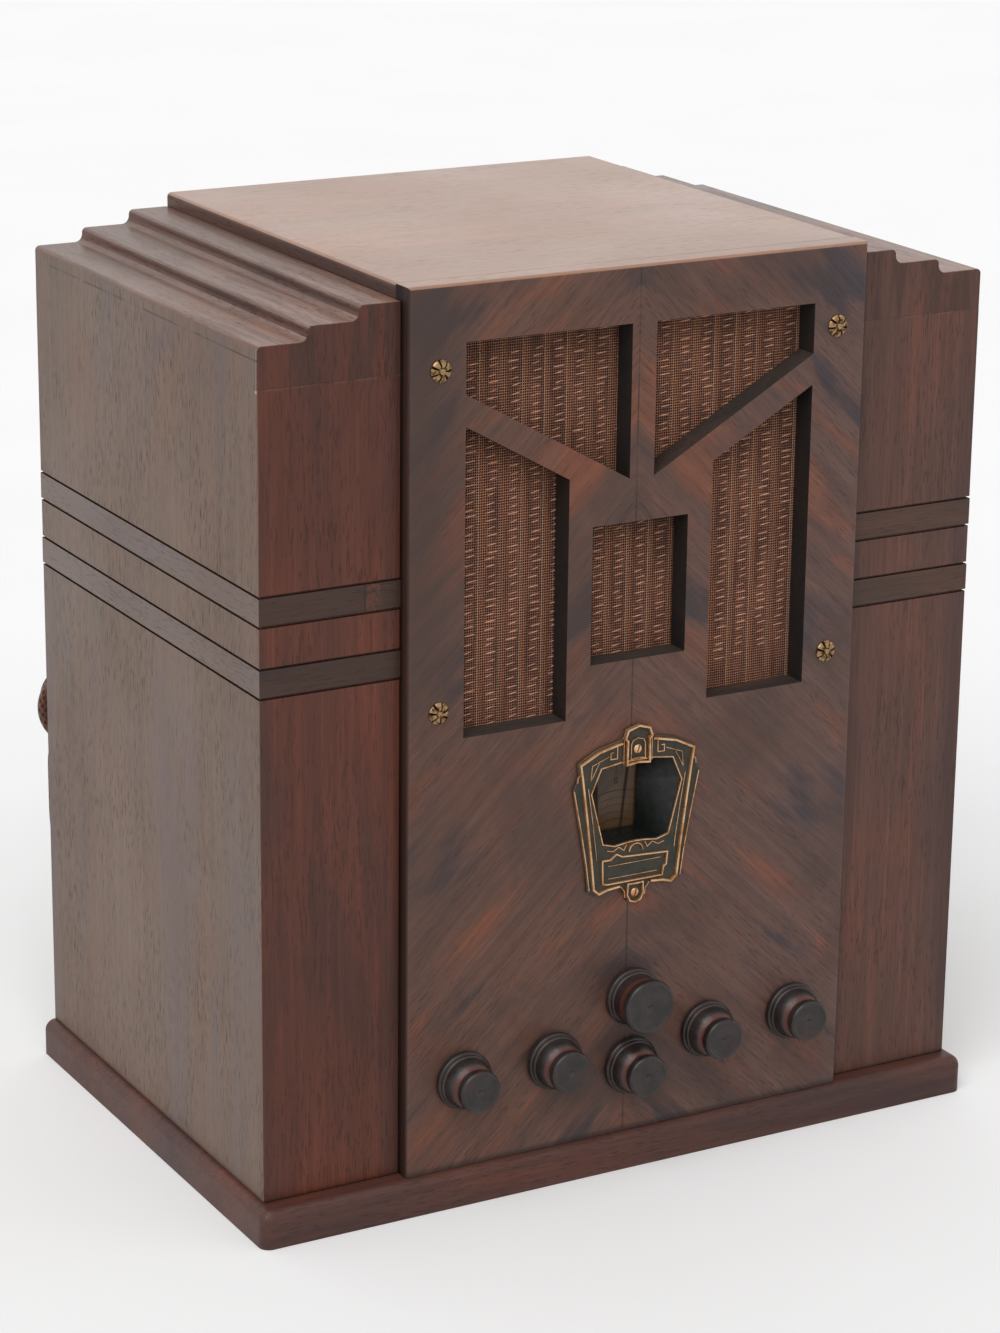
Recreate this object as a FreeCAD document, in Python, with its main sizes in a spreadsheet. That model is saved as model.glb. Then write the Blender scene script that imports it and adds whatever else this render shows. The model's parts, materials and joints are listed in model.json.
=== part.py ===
"""Tombstone radio of the early 1930s, as a parametric document.

Millimetres. The origin is the centre of the base board's underside. +Z is up, the front of
the radio looks along -Y, and +X is to the right as the radio is seen from the front.
"""
import FreeCAD, Part
import math
import os
import re
import Sketcher

Vector = FreeCAD.Vector

document = FreeCAD.newDocument("TombstoneRadio")
sheet = document.addObject("Spreadsheet::Sheet", "Sizes")
places = document.addObject("App::FeaturePython", "Places")
nodes = []

# Driving dimensions

SIZES = {
    # cabinet
    "body_width": 430,
    "body_depth": 279,
    "shoulder_height": 475.5,
    "top_height": 498.5,
    "centre_width": 272,
    "base_thick": 21,
    "base_side_overhang": 6,
    "base_front_overhang": 12,
    "base_round": 6,
    "wall": 12,
    "pilaster_thick": 12,
    "panel_thick": 14,
    "panel_forward": 8,
    "panel_round": 2.5,
    "top_thick": 12,
    "seam_height": 454,
    "outer_tread": 27.7,
    "middle_tread": 28,
    "cove": 4.4,
    "nosing": 2.6,
    "batten": 18,
    "batten_long": 190,
    # inlaid bands
    "band_tall": 14.5,
    "band_deep": 1.5,
    "band_line": 1.2,
    "upper_band": 341,
    "lower_band": 303.8,
    # grille
    "grille_half": 103.5,
    "grille_top": 468.5,
    "grille_outer": 441.7,
    "grille_bar": 14.5,
    "grille_slope": 29.5,
    "spine_half": 7.3,
    "long_inner": 43,
    "long_bottom": 261.3,
    "eye_half": 28.6,
    "eye_bottom": 289.5,
    "eye_top": 364,
    "cloth_thick": 0.6,
    "cloth_margin": 3,
    "baffle_thick": 8,
    "baffle_over_scale": 20,
    "baffle_top": 480,
    "baffle_play": 0.5,
    # rosette screws
    "rosette_across": 118,
    "rosette_high": 455.3,
    "rosette_low": 276.8,
    "rosette_radius": 5.9,
    "rosette_rise": 2.6,
    "rosette_shank": 2.2,
    "rosette_nut": 4.5,
    "rosette_nut_thick": 3,
    # escutcheon and dial
    "plate_half": 40.5,
    "plate_bottom": 152.5,
    "plate_tall": 102.9,
    "plate_thick": 1.6,
    "plate_rim": 2.8,
    "key_rise": 4.2,
    "window_top": 232.5,
    "window_top_half": 22,
    "window_side": 219.5,
    "window_side_half": 27.8,
    "window_bottom": 188,
    "window_bottom_half": 19.5,
    "mouth_top": 227,
    "mouth_top_half": 12.5,
    "mouth_bottom": 189.5,
    "mouth_bottom_half": 11,
    "hood_wall": 1.2,
    "hood_play": 0.4,
    "hood_deep": 18.2,
    "plate_screw_radius": 2.6,
    "plate_screw_shank": 1.2,
    "upper_screw": 243.5,
    "lower_screw": 157.5,
    "pointer_radius": 0.4,
    "pointer_lean": 7,
    "pointer_half": 22,
    "scale_gap": 19.5,
    "scale_thick": 0.6,
    "scale_margin": 9,
    # knobs and shafts
    "outer_knob": 102.7,
    "inner_knob": 47.75,
    "knob_drop": 19,
    "switch_drop": 31,
    "tuning_rise": 9,
    "knob_radius": 16,
    "knob_face": 11.75,
    "tuning_face": 15,
    "knob_long": 20.8,
    "knob_gap": 0.9,
    "knob_bore_deep": 15,
    "knob_waist": 1.5,
    "knob_swell": 13.6,
    "shaft_radius": 3.175,
    "shaft_hole": 5,
    "press_play": 0.02,
    "run_play": 0.05,
    # chassis
    "chassis_side_play": 20,
    "chassis_set_back": 46,
    "chassis_clear": 4,
    "deck_height": 91,
    "metal": 1.5,
    "chassis_lip": 16,
    "foot_bolt_inset": 25,
    "foot_bolt_radius": 2.5,
    "foot_bolt_head": 6,
    "foot_bolt_head_thick": 4,
    "bolt_play": 0.3,
    "control_radius": 14,
    "control_deep": 14,
    "bush_radius": 4.7,
    "bush_long": 9,
    "nut_radius": 7.2,
    "nut_thick": 2.4,
    # tuning condenser and friction drive
    "pinch_radius": 7,
    "disc_radius": 63,
    "disc_thick": 1.2,
    "disc_set_back": 32,
    "bobbin_core": 5,
    "bobbin_flange": 9,
    "bobbin_cheek": 1.6,
    "run_gap": 0.4,
    "rotor_shaft": 4,
    "frame_half": 44,
    "frame_sheet": 2.5,
    "frame_set_back": 56,
    "frame_long": 104,
    "frame_over": 46,
    "frame_clear": 8,
    "plate_radius": 32,
    "stator_outer": 38,
    "stator_inner": 9,
    "vane": 0.9,
    "vane_pitch": 4,
    "gang_pitch": 31,
    "post_radius": 2.2,
    "bracket_half": 12,
    "bracket_over": 22,
    "bracket_foot": 2,
    "bracket_thick": 4,
    "disc_hub": 9,
    "disc_hub_rise": 3,
    # loudspeaker
    "speaker_height": 365,
    "speaker_rim": 18,
    "cone_radius": 82,
    "basket_deep": 60,
    "basket_neck": 48,
    "pot_radius": 42,
    "pot_deep": 60,
    "basket_sheet": 2,
    "voice_coil": 18.8,
    "core_radius": 17.8,
    "speaker_bolt": 2,
    # parts on the deck
    "socket_radius": 19,
    "socket_thick": 4,
    "tube_base_radius": 16,
    "tube_base_tall": 24,
    "bulb_radius": 17.5,
    "bulb_tall": 76,
    "shield_radius": 21,
    "shield_tall": 116,
    "can_side": 34,
    "can_tall": 82,
    "filter_radius": 17.5,
    "filter_tall": 96,
    "mains_wide": 85,
    "mains_deep": 80,
    "mains_tall": 93,
    "mains_edge": 7,
    "mains_clear": 6,
    "tube_edge": 40,
    "tube_pitch": 50,
    "tube_front": 30,
    "tube_back": 25,
    "rectifier_across": -20,
    "filter_front": 50,
    "strip_across": 85,
    "strip_height": 50,
    "strip_long": 60,
    "strip_tall": 24,
    "strip_thick": 3,
    "strip_post": 3,
    "strip_post_long": 11,
    "strip_post_pitch": 18,
    # dial lamps
    "lamp_across": 46,
    "lamp_back": 9,
    "lamp_radius": 5,
    "lamp_cap": 4.2,
    "lamp_drop": 13,
    "lamp_long": 15,
    "lamp_bracket_wide": 9,
    "lamp_bracket_tall": 16,
    "lamp_bracket_deep": 15,
    # cord
    "cord_radius": 3.25,
    "sleeve_across": -40,
    "sleeve_height": 50,
    "sleeve_long": 24,
    "hank_long": 161,
    "hank_tall": 46,
    "hank_turns": 4,
    "hank_pitch": 7,
    "hank_waist": 9,
    "hank_turn": -30,
    "hank_end_across": -208,
    "hank_end_back": 23,
    "plug_along": 84.5,
    "plug_aside": 19.25,
    "plug_radius": 15,
    "plug_long": 33,
    "prong_long": 16,
}

# Places worked out from the driving dimensions

PLACES = {
    "front": "base_front_overhang - (body_depth + base_front_overhang) / 2",
    "back": "front + body_depth",
    "half": "body_width / 2",
    "centre_half": "centre_width / 2",
    "pilaster_back": "front + pilaster_thick",
    "panel_face": "front - panel_forward",
    "panel_back": "panel_face + panel_thick",
    "cloth_back": "panel_back + cloth_thick",
    "baffle_back": "cloth_back + baffle_thick",
    "step_rise": "(top_height - shoulder_height) / 3",
    "outer_riser": "half - outer_tread",
    "middle_riser": "outer_riser - middle_tread",
    "grille_tip": "grille_outer - (grille_half - spine_half) * tan(grille_slope)",
    "long_outer": "grille_outer - grille_bar / cos(grille_slope)",
    "long_top": "long_outer - (grille_half - long_inner) * tan(grille_slope)",
    "chassis_front": "front + chassis_set_back",
    "chassis_back": "back - chassis_clear",
    "tuning_height": "deck_height + tuning_rise",
    "knob_height": "deck_height - knob_drop",
    "switch_height": "deck_height - switch_drop",
    "chassis_half": "half - wall - batten - chassis_side_play",
    "foot_bolt_across": "chassis_half - foot_bolt_inset",
    "row_pitch": "(chassis_back - chassis_front - tube_front - tube_back) / 3",
    "disc_axis": "tuning_height + pinch_radius + disc_radius",
    "disc_edge": "disc_radius + pinch_radius - bobbin_core - run_gap",
    "disc_front": "front + disc_set_back",
    "scale_front": "panel_face + scale_gap",
    "scale_radius": "mouth_top + scale_margin - disc_axis",
    "baffle_bottom": "mouth_top + scale_margin + baffle_over_scale",
    "speaker_radius": "cone_radius + speaker_rim",
    "bolt_circle": "cone_radius + speaker_rim * 2 / 3",
    "frame_front": "front + frame_set_back",
    "frame_back": "frame_front + frame_long",
    "knob_back": "panel_face - knob_gap",
    "mains_middle": "back - mains_clear - mains_deep / 2",
    "mains_across": "mains_wide / 2 + mains_edge - chassis_half",
    "mains_top": "deck_height + mains_tall",
    "hank_thick": "hank_turns * hank_pitch + cord_radius * 2",
    "window_middle": "(mouth_top + mouth_bottom) / 2",
}

# Outline of the escutcheon's right half, from the top down, as shares of its half width and height
PLATE_SHARES = ((0.17, 1.0), (0.21, 0.925), (0.26, 0.912), (0.58, 0.888), (0.912, 0.827), (0.885, 0.735),
                (1.0, 0.685), (0.742, 0.225), (0.705, 0.12), (0.57, 0.076), (0.41, 0.102), (0.22, 0.102),
                (0.155, 0.07), (0.12, 0.02))

# Knobs: name, place across, height, radius of the face
KNOBS = (("volume", "-outer_knob", "knob_height", "knob_face"),
         ("tone", "-inner_knob", "knob_height", "knob_face"),
         ("tuning", "0", "tuning_height", "tuning_face"),
         ("band", "0", "switch_height", "knob_face"),
         ("sensitivity", "inner_knob", "knob_height", "knob_face"),
         ("power", "outer_knob", "knob_height", "knob_face"))

# What stands on the deck: place across, and the row, counted from the front
OUTER_COLUMN = "chassis_half - tube_edge"
INNER_COLUMN = "chassis_half - tube_edge - tube_pitch"
SHIELDED_TUBES = ((INNER_COLUMN, 0), (OUTER_COLUMN, 0), (OUTER_COLUMN, 1))
BARE_TUBES = ((OUTER_COLUMN, 2), (OUTER_COLUMN, 3), ("rectifier_across", 3))
CANS = ((INNER_COLUMN, 1), (INNER_COLUMN, 2))

# Outline of a tube's bulb, from its base up, as shares of its radius and height
BULB_SHARES = ((0.76, 0), (0.8, 0.08), (1, 0.36), (1, 0.52), (0.66, 0.76), (0.6, 0.92), (0.35, 1))

# Route of the free stretch of cord, from the sleeve to the foot of the hank
CORD_ROUTE = ((-40, 165.5, 50), (-40, 186, 50), (-47, 203, 38), (-70, 208, 24), (-105, 203, 18),
              (-142, 195, 26), (-172, 187, 50), (-190, 182, 84), (-198.2, 179, 123), (-198.2, 179, 161))


def fill_sheet():
    for row, (name, value) in enumerate(SIZES.items(), 1):
        sheet.set("A%d" % row, name.replace("_", " "))
        sheet.set("B%d" % row, str(value))
        sheet.setAlias("B%d" % row, name)
    document.recompute()
    for name, rule in PLACES.items():
        places.addProperty("App::PropertyFloat", name)
        places.setExpression(name, named(rule))
    document.recompute()


def named(text):
    """Points each name in an expression at the sheet or at the list of places."""

    def point(match):
        word = match.group(0)
        if word in SIZES:
            return "Sizes." + word
        if word in PLACES:
            return "Places." + word
        return word

    return re.sub(r"[a-z_]+", point, text)


def value(name):
    """Gives a driving dimension or a place as a number."""
    if name in SIZES:
        return float(getattr(sheet, name))
    return float(getattr(places, name))


# Helpers for sketches and features


def plane(body, role):
    for feature in body.Origin.OriginFeatures:
        if feature.Role == role:
            return feature
    raise RuntimeError("no origin plane " + role)


def new_body(label, across="0", along="0", up="0", turn=None):
    body = document.addObject("PartDesign::Body", label)
    body.Label = label
    if turn is not None:
        body.Placement = FreeCAD.Placement(Vector(), FreeCAD.Rotation(Vector(0, 0, 1), 1))
        body.setExpression("Placement.Rotation.Angle", named(turn))
    for axis, text in zip("xyz", (across, along, up)):
        body.setExpression("Placement.Base." + axis, named(text))
    return body


def new_sketch(body, role):
    sketch = body.newObject("Sketcher::SketchObject", body.Name + "_sketch")
    sketch.AttachmentSupport = [(plane(body, role), "")]
    sketch.MapMode = "FlatFace"
    return sketch


def pin(sketch, element, point, across, along):
    for kind, text in (("DistanceX", across), ("DistanceY", along)):
        index = sketch.addConstraint(Sketcher.Constraint(kind, -1, 1, element, point, 1.0))
        sketch.setExpression("Constraints[%d]" % index, named(text))


def outline(sketch, corners):
    """Adds a closed outline with straight sides, each corner pinned to its own expressions."""
    first = sketch.GeometryCount
    count = len(corners)
    turn = 2 * math.pi / count
    start = [Vector(math.cos(turn * step), math.sin(turn * step), 0) for step in range(count)]
    sides = [Part.LineSegment(start[step], start[(step + 1) % count]) for step in range(count)]
    sketch.addGeometry(sides, False)
    for step in range(count):
        after = first + (step + 1) % count
        sketch.addConstraint(Sketcher.Constraint("Coincident", first + step, 2, after, 1))
    for step, (across, along) in enumerate(corners):
        pin(sketch, first + step, 1, across, along)


def box_corners(low, bottom, high, top):
    return [(low, bottom), (high, bottom), (high, top), (low, top)]


def circle(sketch, across, along, radius):
    index = sketch.addGeometry(Part.Circle(Vector(1, 1, 0), Vector(0, 0, 1), 1.0), False)
    pin(sketch, index, 3, across, along)
    size = sketch.addConstraint(Sketcher.Constraint("Radius", index, 1.0))
    sketch.setExpression("Constraints[%d]" % size, named(radius))


def pad(body, sketch, length, reverse=False, middle=False):
    feature = body.newObject("PartDesign::Pad", body.Name + "_pad")
    feature.Profile = sketch
    feature.setExpression("Length", named(length))
    feature.Reversed = reverse
    feature.Midplane = middle
    document.recompute()
    return feature


def check_cut(body, before):
    document.recompute()
    if not body.Shape.Volume < before - 1e-6:
        raise RuntimeError(body.Label + ": a cut took nothing away")


def cut_through(body, sketch):
    before = body.Shape.Volume
    feature = body.newObject("PartDesign::Pocket", body.Name + "_pocket")
    feature.Profile = sketch
    feature.Type = "ThroughAll"
    feature.Midplane = True
    check_cut(body, before)
    return feature


def cut(body, sketch, length, reverse=False, middle=False):
    before = body.Shape.Volume
    feature = body.newObject("PartDesign::Pocket", body.Name + "_pocket")
    feature.Profile = sketch
    feature.setExpression("Length", named(length))
    feature.Reversed = reverse
    feature.Midplane = middle
    check_cut(body, before)
    return feature


def turn(body, sketch, angle=360, middle=False):
    feature = body.newObject("PartDesign::Revolution", body.Name + "_turning")
    feature.Profile = sketch
    feature.ReferenceAxis = (sketch, ["V_Axis"])
    feature.Angle = angle
    feature.Midplane = middle
    document.recompute()
    return feature


def fillet(body, radius, wanted):
    """Rounds the straight edges whose middle point and direction the test accepts."""
    base = body.Tip
    chosen = []
    for number, edge in enumerate(base.Shape.Edges, 1):
        first, last = edge.Vertexes[0].Point, edge.Vertexes[-1].Point
        if wanted((first + last) * 0.5, (last - first)):
            chosen.append("Edge%d" % number)
    if not chosen:
        raise RuntimeError(body.Label + ": no edge to round")
    feature = body.newObject("PartDesign::Fillet", body.Name + "_fillet")
    feature.Base = (base, chosen)
    feature.setExpression("Radius", named(radius))
    document.recompute()
    return feature


def runs_along(direction, axis):
    """True for an edge that runs along one axis."""
    parts = [abs(part) for part in direction]
    return parts[axis] > 1e-6 and sum(parts) - parts[axis] < 1e-6


def near(first, second):
    return abs(first - second) < 1e-4


def keep(piece):
    nodes.append(piece)
    return piece


def cluster(label, pieces):
    """Joins separate solids of one kind into one node."""
    group = document.addObject("Part::Compound", label)
    group.Label = label
    group.Links = pieces
    return keep(group)


def prism(label, role, corners, length, place=("0", "0", "0"), reverse=False, middle=False, circles=()):
    body = new_body(label, *place)
    sketch = new_sketch(body, role)
    outline(sketch, corners)
    for across, along, radius in circles:
        circle(sketch, across, along, radius)
    pad(body, sketch, length, reverse, middle)
    return body


def turned(label, role, profile, place=("0", "0", "0"), rotate=None):
    """Turns a profile of radius and distance about its own upright axis."""
    body = new_body(label, *place, turn=rotate)
    sketch = new_sketch(body, role)
    outline(sketch, profile)
    turn(body, sketch)
    return body


def mirror_corners(corners):
    """Adds the left half to the right half of a symmetric outline."""
    left = [("-(%s)" % across, along) for across, along in reversed(corners)]
    return list(corners) + left


# Cabinet


def make_base_board():
    body = new_body("base_board")
    sketch = new_sketch(body, "XY_Plane")
    outline(sketch, box_corners("-half - base_side_overhang", "front - base_front_overhang",
                                "half + base_side_overhang", "back"))
    for across, along in foot_bolts():
        circle(sketch, across, along, "foot_bolt_radius + bolt_play")
    pad(body, sketch, "base_thick")
    heads = new_sketch(body, "XY_Plane")
    for across, along in foot_bolts():
        circle(heads, across, along, "foot_bolt_head + bolt_play")
    cut(body, heads, "foot_bolt_head_thick + bolt_play * 2", reverse=True)
    front_edge = value("front") - value("base_front_overhang")
    side_edge = value("half") + value("base_side_overhang")
    fillet(body, "base_round", lambda middle, way: runs_along(way, 2) and near(middle.y, front_edge)
           and near(abs(middle.x), side_edge))
    top = value("base_thick")
    fillet(body, "base_round", lambda middle, way: near(middle.z, top)
           and (near(middle.y, front_edge) or near(abs(middle.x), side_edge)) and way.Length > 50)
    keep(body)


def foot_bolts():
    lip = "chassis_lip / 2"
    return [("%d * foot_bolt_across" % side, along) for side in (-1, 1)
            for along in ("chassis_front + " + lip, "chassis_back - " + lip)]


def band_notches(face, inward):
    """Corners of the two band grooves in an upright face, from the bottom up."""
    corners = []
    for band in ("lower_band", "upper_band"):
        low = "%s - band_tall / 2 - band_line" % band
        high = "%s + band_tall / 2 + band_line" % band
        corners += [(face, low), (inward, low), (inward, high), (face, high)]
    return corners


def make_side_panel(name, side):
    face = "%d * half" % side
    inward = "%d * (half - band_deep)" % side
    inner = "%d * (half - wall)" % side
    corners = [(inner, "base_thick"), (face, "base_thick")] + band_notches(face, inward)
    corners += [(face, "seam_height"), (inner, "seam_height")]
    keep(prism("side_panel_" + name, "XZ_Plane", corners, "body_depth - pilaster_thick",
               ("0", "pilaster_back", "0"), reverse=True))


def make_pilaster(name, side):
    corners = [("pilaster_back", "base_thick"), ("pilaster_back", "seam_height"), ("front", "seam_height")]
    corners += list(reversed(band_notches("front", "front + band_deep"))) + [("front", "base_thick")]
    body = prism("pilaster_" + name, "YZ_Plane", corners, "half - centre_half",
                 ("%d * centre_half" % side, "0", "0"), reverse=side < 0)
    for band in ("lower_band", "upper_band"):
        sketch = new_sketch(body, "XZ_Plane")
        tall = "(band_tall / 2 + band_line)"
        face = "%d * (half - centre_half" % side
        outline(sketch, box_corners(face + " - band_deep)", "%s - %s" % (band, tall),
                                    face + " + band_deep)", "%s + %s" % (band, tall)))
        cut_through(body, sketch)
    keep(body)


def make_inlay_bands():
    """Veneer strips that run along the sides and round the corners of the pilasters."""
    strips = []
    for band in ("lower_band", "upper_band"):
        for side in (-1, 1):
            inner = mirrored(side, "centre_half")
            deep = mirrored(side, "half - band_deep")
            corners = [(inner, "front"), (mirrored(side, "half"), "front"), (mirrored(side, "half"), "back"),
                       (deep, "back"), (deep, "front + band_deep"), (inner, "front + band_deep")]
            strips.append(prism("%s_strip" % band, "XY_Plane", corners, "band_tall", ("0", "0", band),
                                middle=True))
    cluster("inlay_bands", strips)


def make_shoulder(name, side):
    corners = [("half", "seam_height"), ("half", "shoulder_height"),
               ("outer_riser", "shoulder_height"), ("outer_riser", "shoulder_height + step_rise"),
               ("middle_riser", "shoulder_height + step_rise"),
               ("middle_riser", "shoulder_height + step_rise * 2"),
               ("centre_half", "shoulder_height + step_rise * 2"), ("centre_half", "seam_height")]
    corners = [(mirrored(side, across), up) for across, up in corners]
    body = prism("shoulder_" + name, "XZ_Plane", corners, "body_depth", ("0", "front", "0"), reverse=True)
    risers = (value("outer_riser"), value("middle_riser"))
    treads = (value("shoulder_height"), value("shoulder_height") + value("step_rise"))
    fillet(body, "cove", lambda middle, way: runs_along(way, 1)
           and any(near(abs(middle.x), riser) and near(middle.z, tread)
                   for riser, tread in zip(risers, treads)))
    high = value("step_rise")
    outer = (value("half"),) + risers
    fillet(body, "nosing", lambda middle, way: runs_along(way, 1) and any(
        near(abs(middle.x), across) and near(middle.z, value("shoulder_height") + high * step)
        for step, across in enumerate(outer)))
    keep(body)


def make_top_panel():
    corners = box_corners("-centre_half", "top_height - top_thick", "centre_half", "top_height")
    body = prism("top_panel", "XZ_Plane", corners, "back - panel_back", ("0", "panel_back", "0"),
                 reverse=True)
    side = value("centre_half")
    top = value("top_height")
    fillet(body, "panel_round", lambda middle, way: runs_along(way, 1) and near(abs(middle.x), side)
           and near(middle.z, top))
    keep(body)


def mirrored(side, across):
    """A distance from the middle, on the right for side 1 and on the left for side -1."""
    return "%d * (%s)" % (side, across)


def over_sides(corners):
    """Gives an outline on the right and its mirror image on the left."""
    return [corners, [("-(%s)" % across, up) for across, up in corners]]


def window_corners(grow):
    grow = "(%s)" % grow
    right = [("window_top_half + " + grow, "window_top + " + grow),
             ("window_side_half + " + grow, "window_side"),
             ("window_bottom_half + " + grow, "window_bottom - " + grow)]
    return mirror_corners(right)


def mouth_corners(grow):
    grow = "(%s)" % grow
    right = [("mouth_top_half + " + grow, "mouth_top + " + grow),
             ("(mouth_top_half * 2 + mouth_bottom_half) / 3 + " + grow,
              "(mouth_top * 2 + mouth_bottom) / 3"),
             ("mouth_bottom_half + " + grow, "mouth_bottom - " + grow)]
    return mirror_corners(right)


def grille_outlines():
    upper = [("spine_half", "grille_tip"), ("grille_half", "grille_outer"), ("grille_half", "grille_top"),
             ("spine_half", "grille_top")]
    long = [("long_inner", "long_bottom"), ("grille_half", "long_bottom"), ("grille_half", "long_outer"),
            ("long_inner", "long_top")]
    eye = box_corners("-eye_half", "eye_bottom", "eye_half", "eye_top")
    return over_sides(upper) + over_sides(long) + [eye]


def rosette_spots():
    return [("%d * rosette_across" % side, height) for side in (-1, 1)
            for height in ("rosette_low", "rosette_high")]


def make_front_panel():
    body = prism("front_panel", "XZ_Plane",
                 box_corners("-centre_half", "base_thick", "centre_half", "top_height"),
                 "panel_thick", ("0", "panel_face", "0"), reverse=True)
    grille = new_sketch(body, "XZ_Plane")
    for corners in grille_outlines():
        outline(grille, corners)
    outline(grille, window_corners("hood_wall + hood_play * 2"))
    for name, across, up, face in KNOBS:
        circle(grille, across, up, "shaft_hole")
    for across, up in rosette_spots():
        circle(grille, across, up, "rosette_shank + bolt_play")
    cut_through(body, grille)
    side = value("centre_half")
    top = value("top_height")
    fillet(body, "panel_round", lambda middle, way: near(middle.y, 0)
           and (near(abs(middle.x), side) or near(middle.z, top)) and way.Length > 100)
    keep(body)


def make_grille_cloth():
    half = "centre_half - baffle_play - cloth_margin"
    keep(prism("grille_cloth", "XZ_Plane",
               box_corners("-(%s)" % half, "baffle_bottom + cloth_margin", half,
                           "baffle_top - cloth_margin"),
               "cloth_thick", ("0", "panel_back", "0"), reverse=True,
               circles=[(across, up, "rosette_shank + bolt_play") for across, up in rosette_spots()]))


def speaker_bolt_spots():
    reach = "bolt_circle * sqrt(0.5)"
    return [("%d * %s" % (side, reach), "speaker_height + %d * %s" % (rise, reach))
            for side in (-1, 1) for rise in (-1, 1)]


def make_baffle_board():
    half = "centre_half - baffle_play"
    circles = [(across, up, "rosette_shank + bolt_play") for across, up in rosette_spots()]
    circles += [(across, up, "speaker_bolt + bolt_play") for across, up in speaker_bolt_spots()]
    circles.append(("0", "speaker_height", "cone_radius"))
    corners = box_corners("-(%s)" % half, "baffle_bottom", half, "baffle_top")
    body = prism("baffle_board", "XZ_Plane", corners, "baffle_thick", ("0", "cloth_back", "0"),
                 reverse=True, circles=circles)
    sinks = new_sketch(body, "XZ_Plane")
    for across, up in speaker_bolt_spots():
        circle(sinks, across, up, "speaker_bolt * 2 + bolt_play")
    cut(body, sinks, "speaker_bolt + bolt_play * 2")
    keep(body)


def make_battens():
    """Square battens in the corners between the sides and the base board."""
    pair = []
    for side in (-1, 1):
        corners = box_corners("%d * (half - wall - batten)" % side, "base_thick",
                              "%d * (half - wall)" % side, "base_thick + batten")
        name = "batten_right" if side > 0 else "batten_left"
        pair.append(prism(name, "XZ_Plane", corners, "batten_long", ("0", "pilaster_back", "0"),
                          reverse=True))
    cluster("corner_battens", pair)


# Brass trim and dial


def make_rosette_screws():
    screws = []
    washers = []
    for number, (across, up) in enumerate(rosette_spots()):
        reach = "panel_thick + cloth_thick + baffle_thick + rosette_nut_thick + rosette_shank"
        profile = [("0", reach), ("rosette_shank", reach), ("rosette_shank", "0"), ("rosette_radius", "0"),
                   ("rosette_radius", "-rosette_rise * 0.45"),
                   ("rosette_radius * 0.8", "-rosette_rise * 0.8"),
                   ("rosette_radius * 0.4", "-rosette_rise"), ("0", "-rosette_rise")]
        screws.append(turned("rosette_screw_%d" % number, "XY_Plane", profile, (across, "panel_face", up)))
        washers.append(nut("rosette_nut_%d" % number, (across, "baffle_back", up), "rosette_nut",
                           "rosette_nut_thick", "rosette_shank + press_play"))
    cluster("rosette_screws", screws)
    cluster("rosette_nuts", washers)


def nut(label, place, across_corners, thick, bore, reverse=True):
    corners = [("(%s) * cos(%d)" % (across_corners, angle), "(%s) * sin(%d)" % (across_corners, angle))
               for angle in range(0, 360, 60)]
    return prism(label, "XZ_Plane", corners, thick, place, reverse=reverse, circles=[("0", "0", bore)])


def plate_corners(shrink):
    right = [("plate_half * %g - %s" % (across, shrink), "plate_bottom + (plate_tall - %s) * %g + %s / 2"
              % (shrink, up, shrink)) for across, up in PLATE_SHARES]
    return mirror_corners(right)


def make_escutcheon():
    body = new_body("escutcheon", "0", "panel_face", "0")
    plate = new_sketch(body, "XZ_Plane")
    outline(plate, plate_corners("0"))
    outline(plate, window_corners("0"))
    pad(body, plate, "plate_thick")
    rim = new_sketch(body, "XZ_Plane")
    outline(rim, plate_corners("0"))
    outline(rim, plate_corners("3"))
    pad(body, rim, "plate_rim")
    frame = new_sketch(body, "XZ_Plane")
    outline(frame, window_corners("2.4"))
    outline(frame, window_corners("0"))
    pad(body, frame, "plate_rim")
    key = new_sketch(body, "XZ_Plane")
    top = "plate_bottom + plate_tall"
    outline(key, mirror_corners([("plate_half * 0.15", top + " - 1"),
                                 ("plate_half * 0.2", "window_top + 3")]))
    pad(body, key, "key_rise")
    tab = new_sketch(body, "XZ_Plane")
    outline(tab, mirror_corners([("plate_half * 0.13", "lower_screw + 5"),
                                 ("plate_half * 0.1", "lower_screw - 4")]))
    pad(body, tab, "plate_rim + 0.6")
    holes = new_sketch(body, "XZ_Plane")
    for up in ("upper_screw", "lower_screw"):
        circle(holes, "0", up, "plate_screw_shank + press_play")
    cut_through(body, holes)
    keep(body)


def make_escutcheon_screws():
    """Slotted screws through the key block and the tab, held by the panel's wood."""
    screws = []
    for name, up, rise in (("upper", "upper_screw", "key_rise"),
                           ("lower", "lower_screw", "plate_rim + 0.6")):
        profile = [("0", "0"), ("plate_screw_shank", "0"), ("plate_screw_shank", "-(%s)" % rise),
                   ("plate_screw_radius", "-(%s)" % rise),
                   ("plate_screw_radius * 0.7", "-(%s) - 1.2" % rise),
                   ("0", "-(%s) - 1.4" % rise)]
        body = turned("escutcheon_screw_" + name, "XY_Plane", profile, ("0", "panel_face", up))
        slot = new_sketch(body, "XY_Plane")
        outline(slot, box_corners("-plate_screw_radius", "-(%s) - 2" % rise, "plate_screw_radius",
                                  "-(%s) - 0.6" % rise))
        cut(body, slot, "0.7", middle=True)
        screws.append(body)
    cluster("escutcheon_screws", screws)


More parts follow.
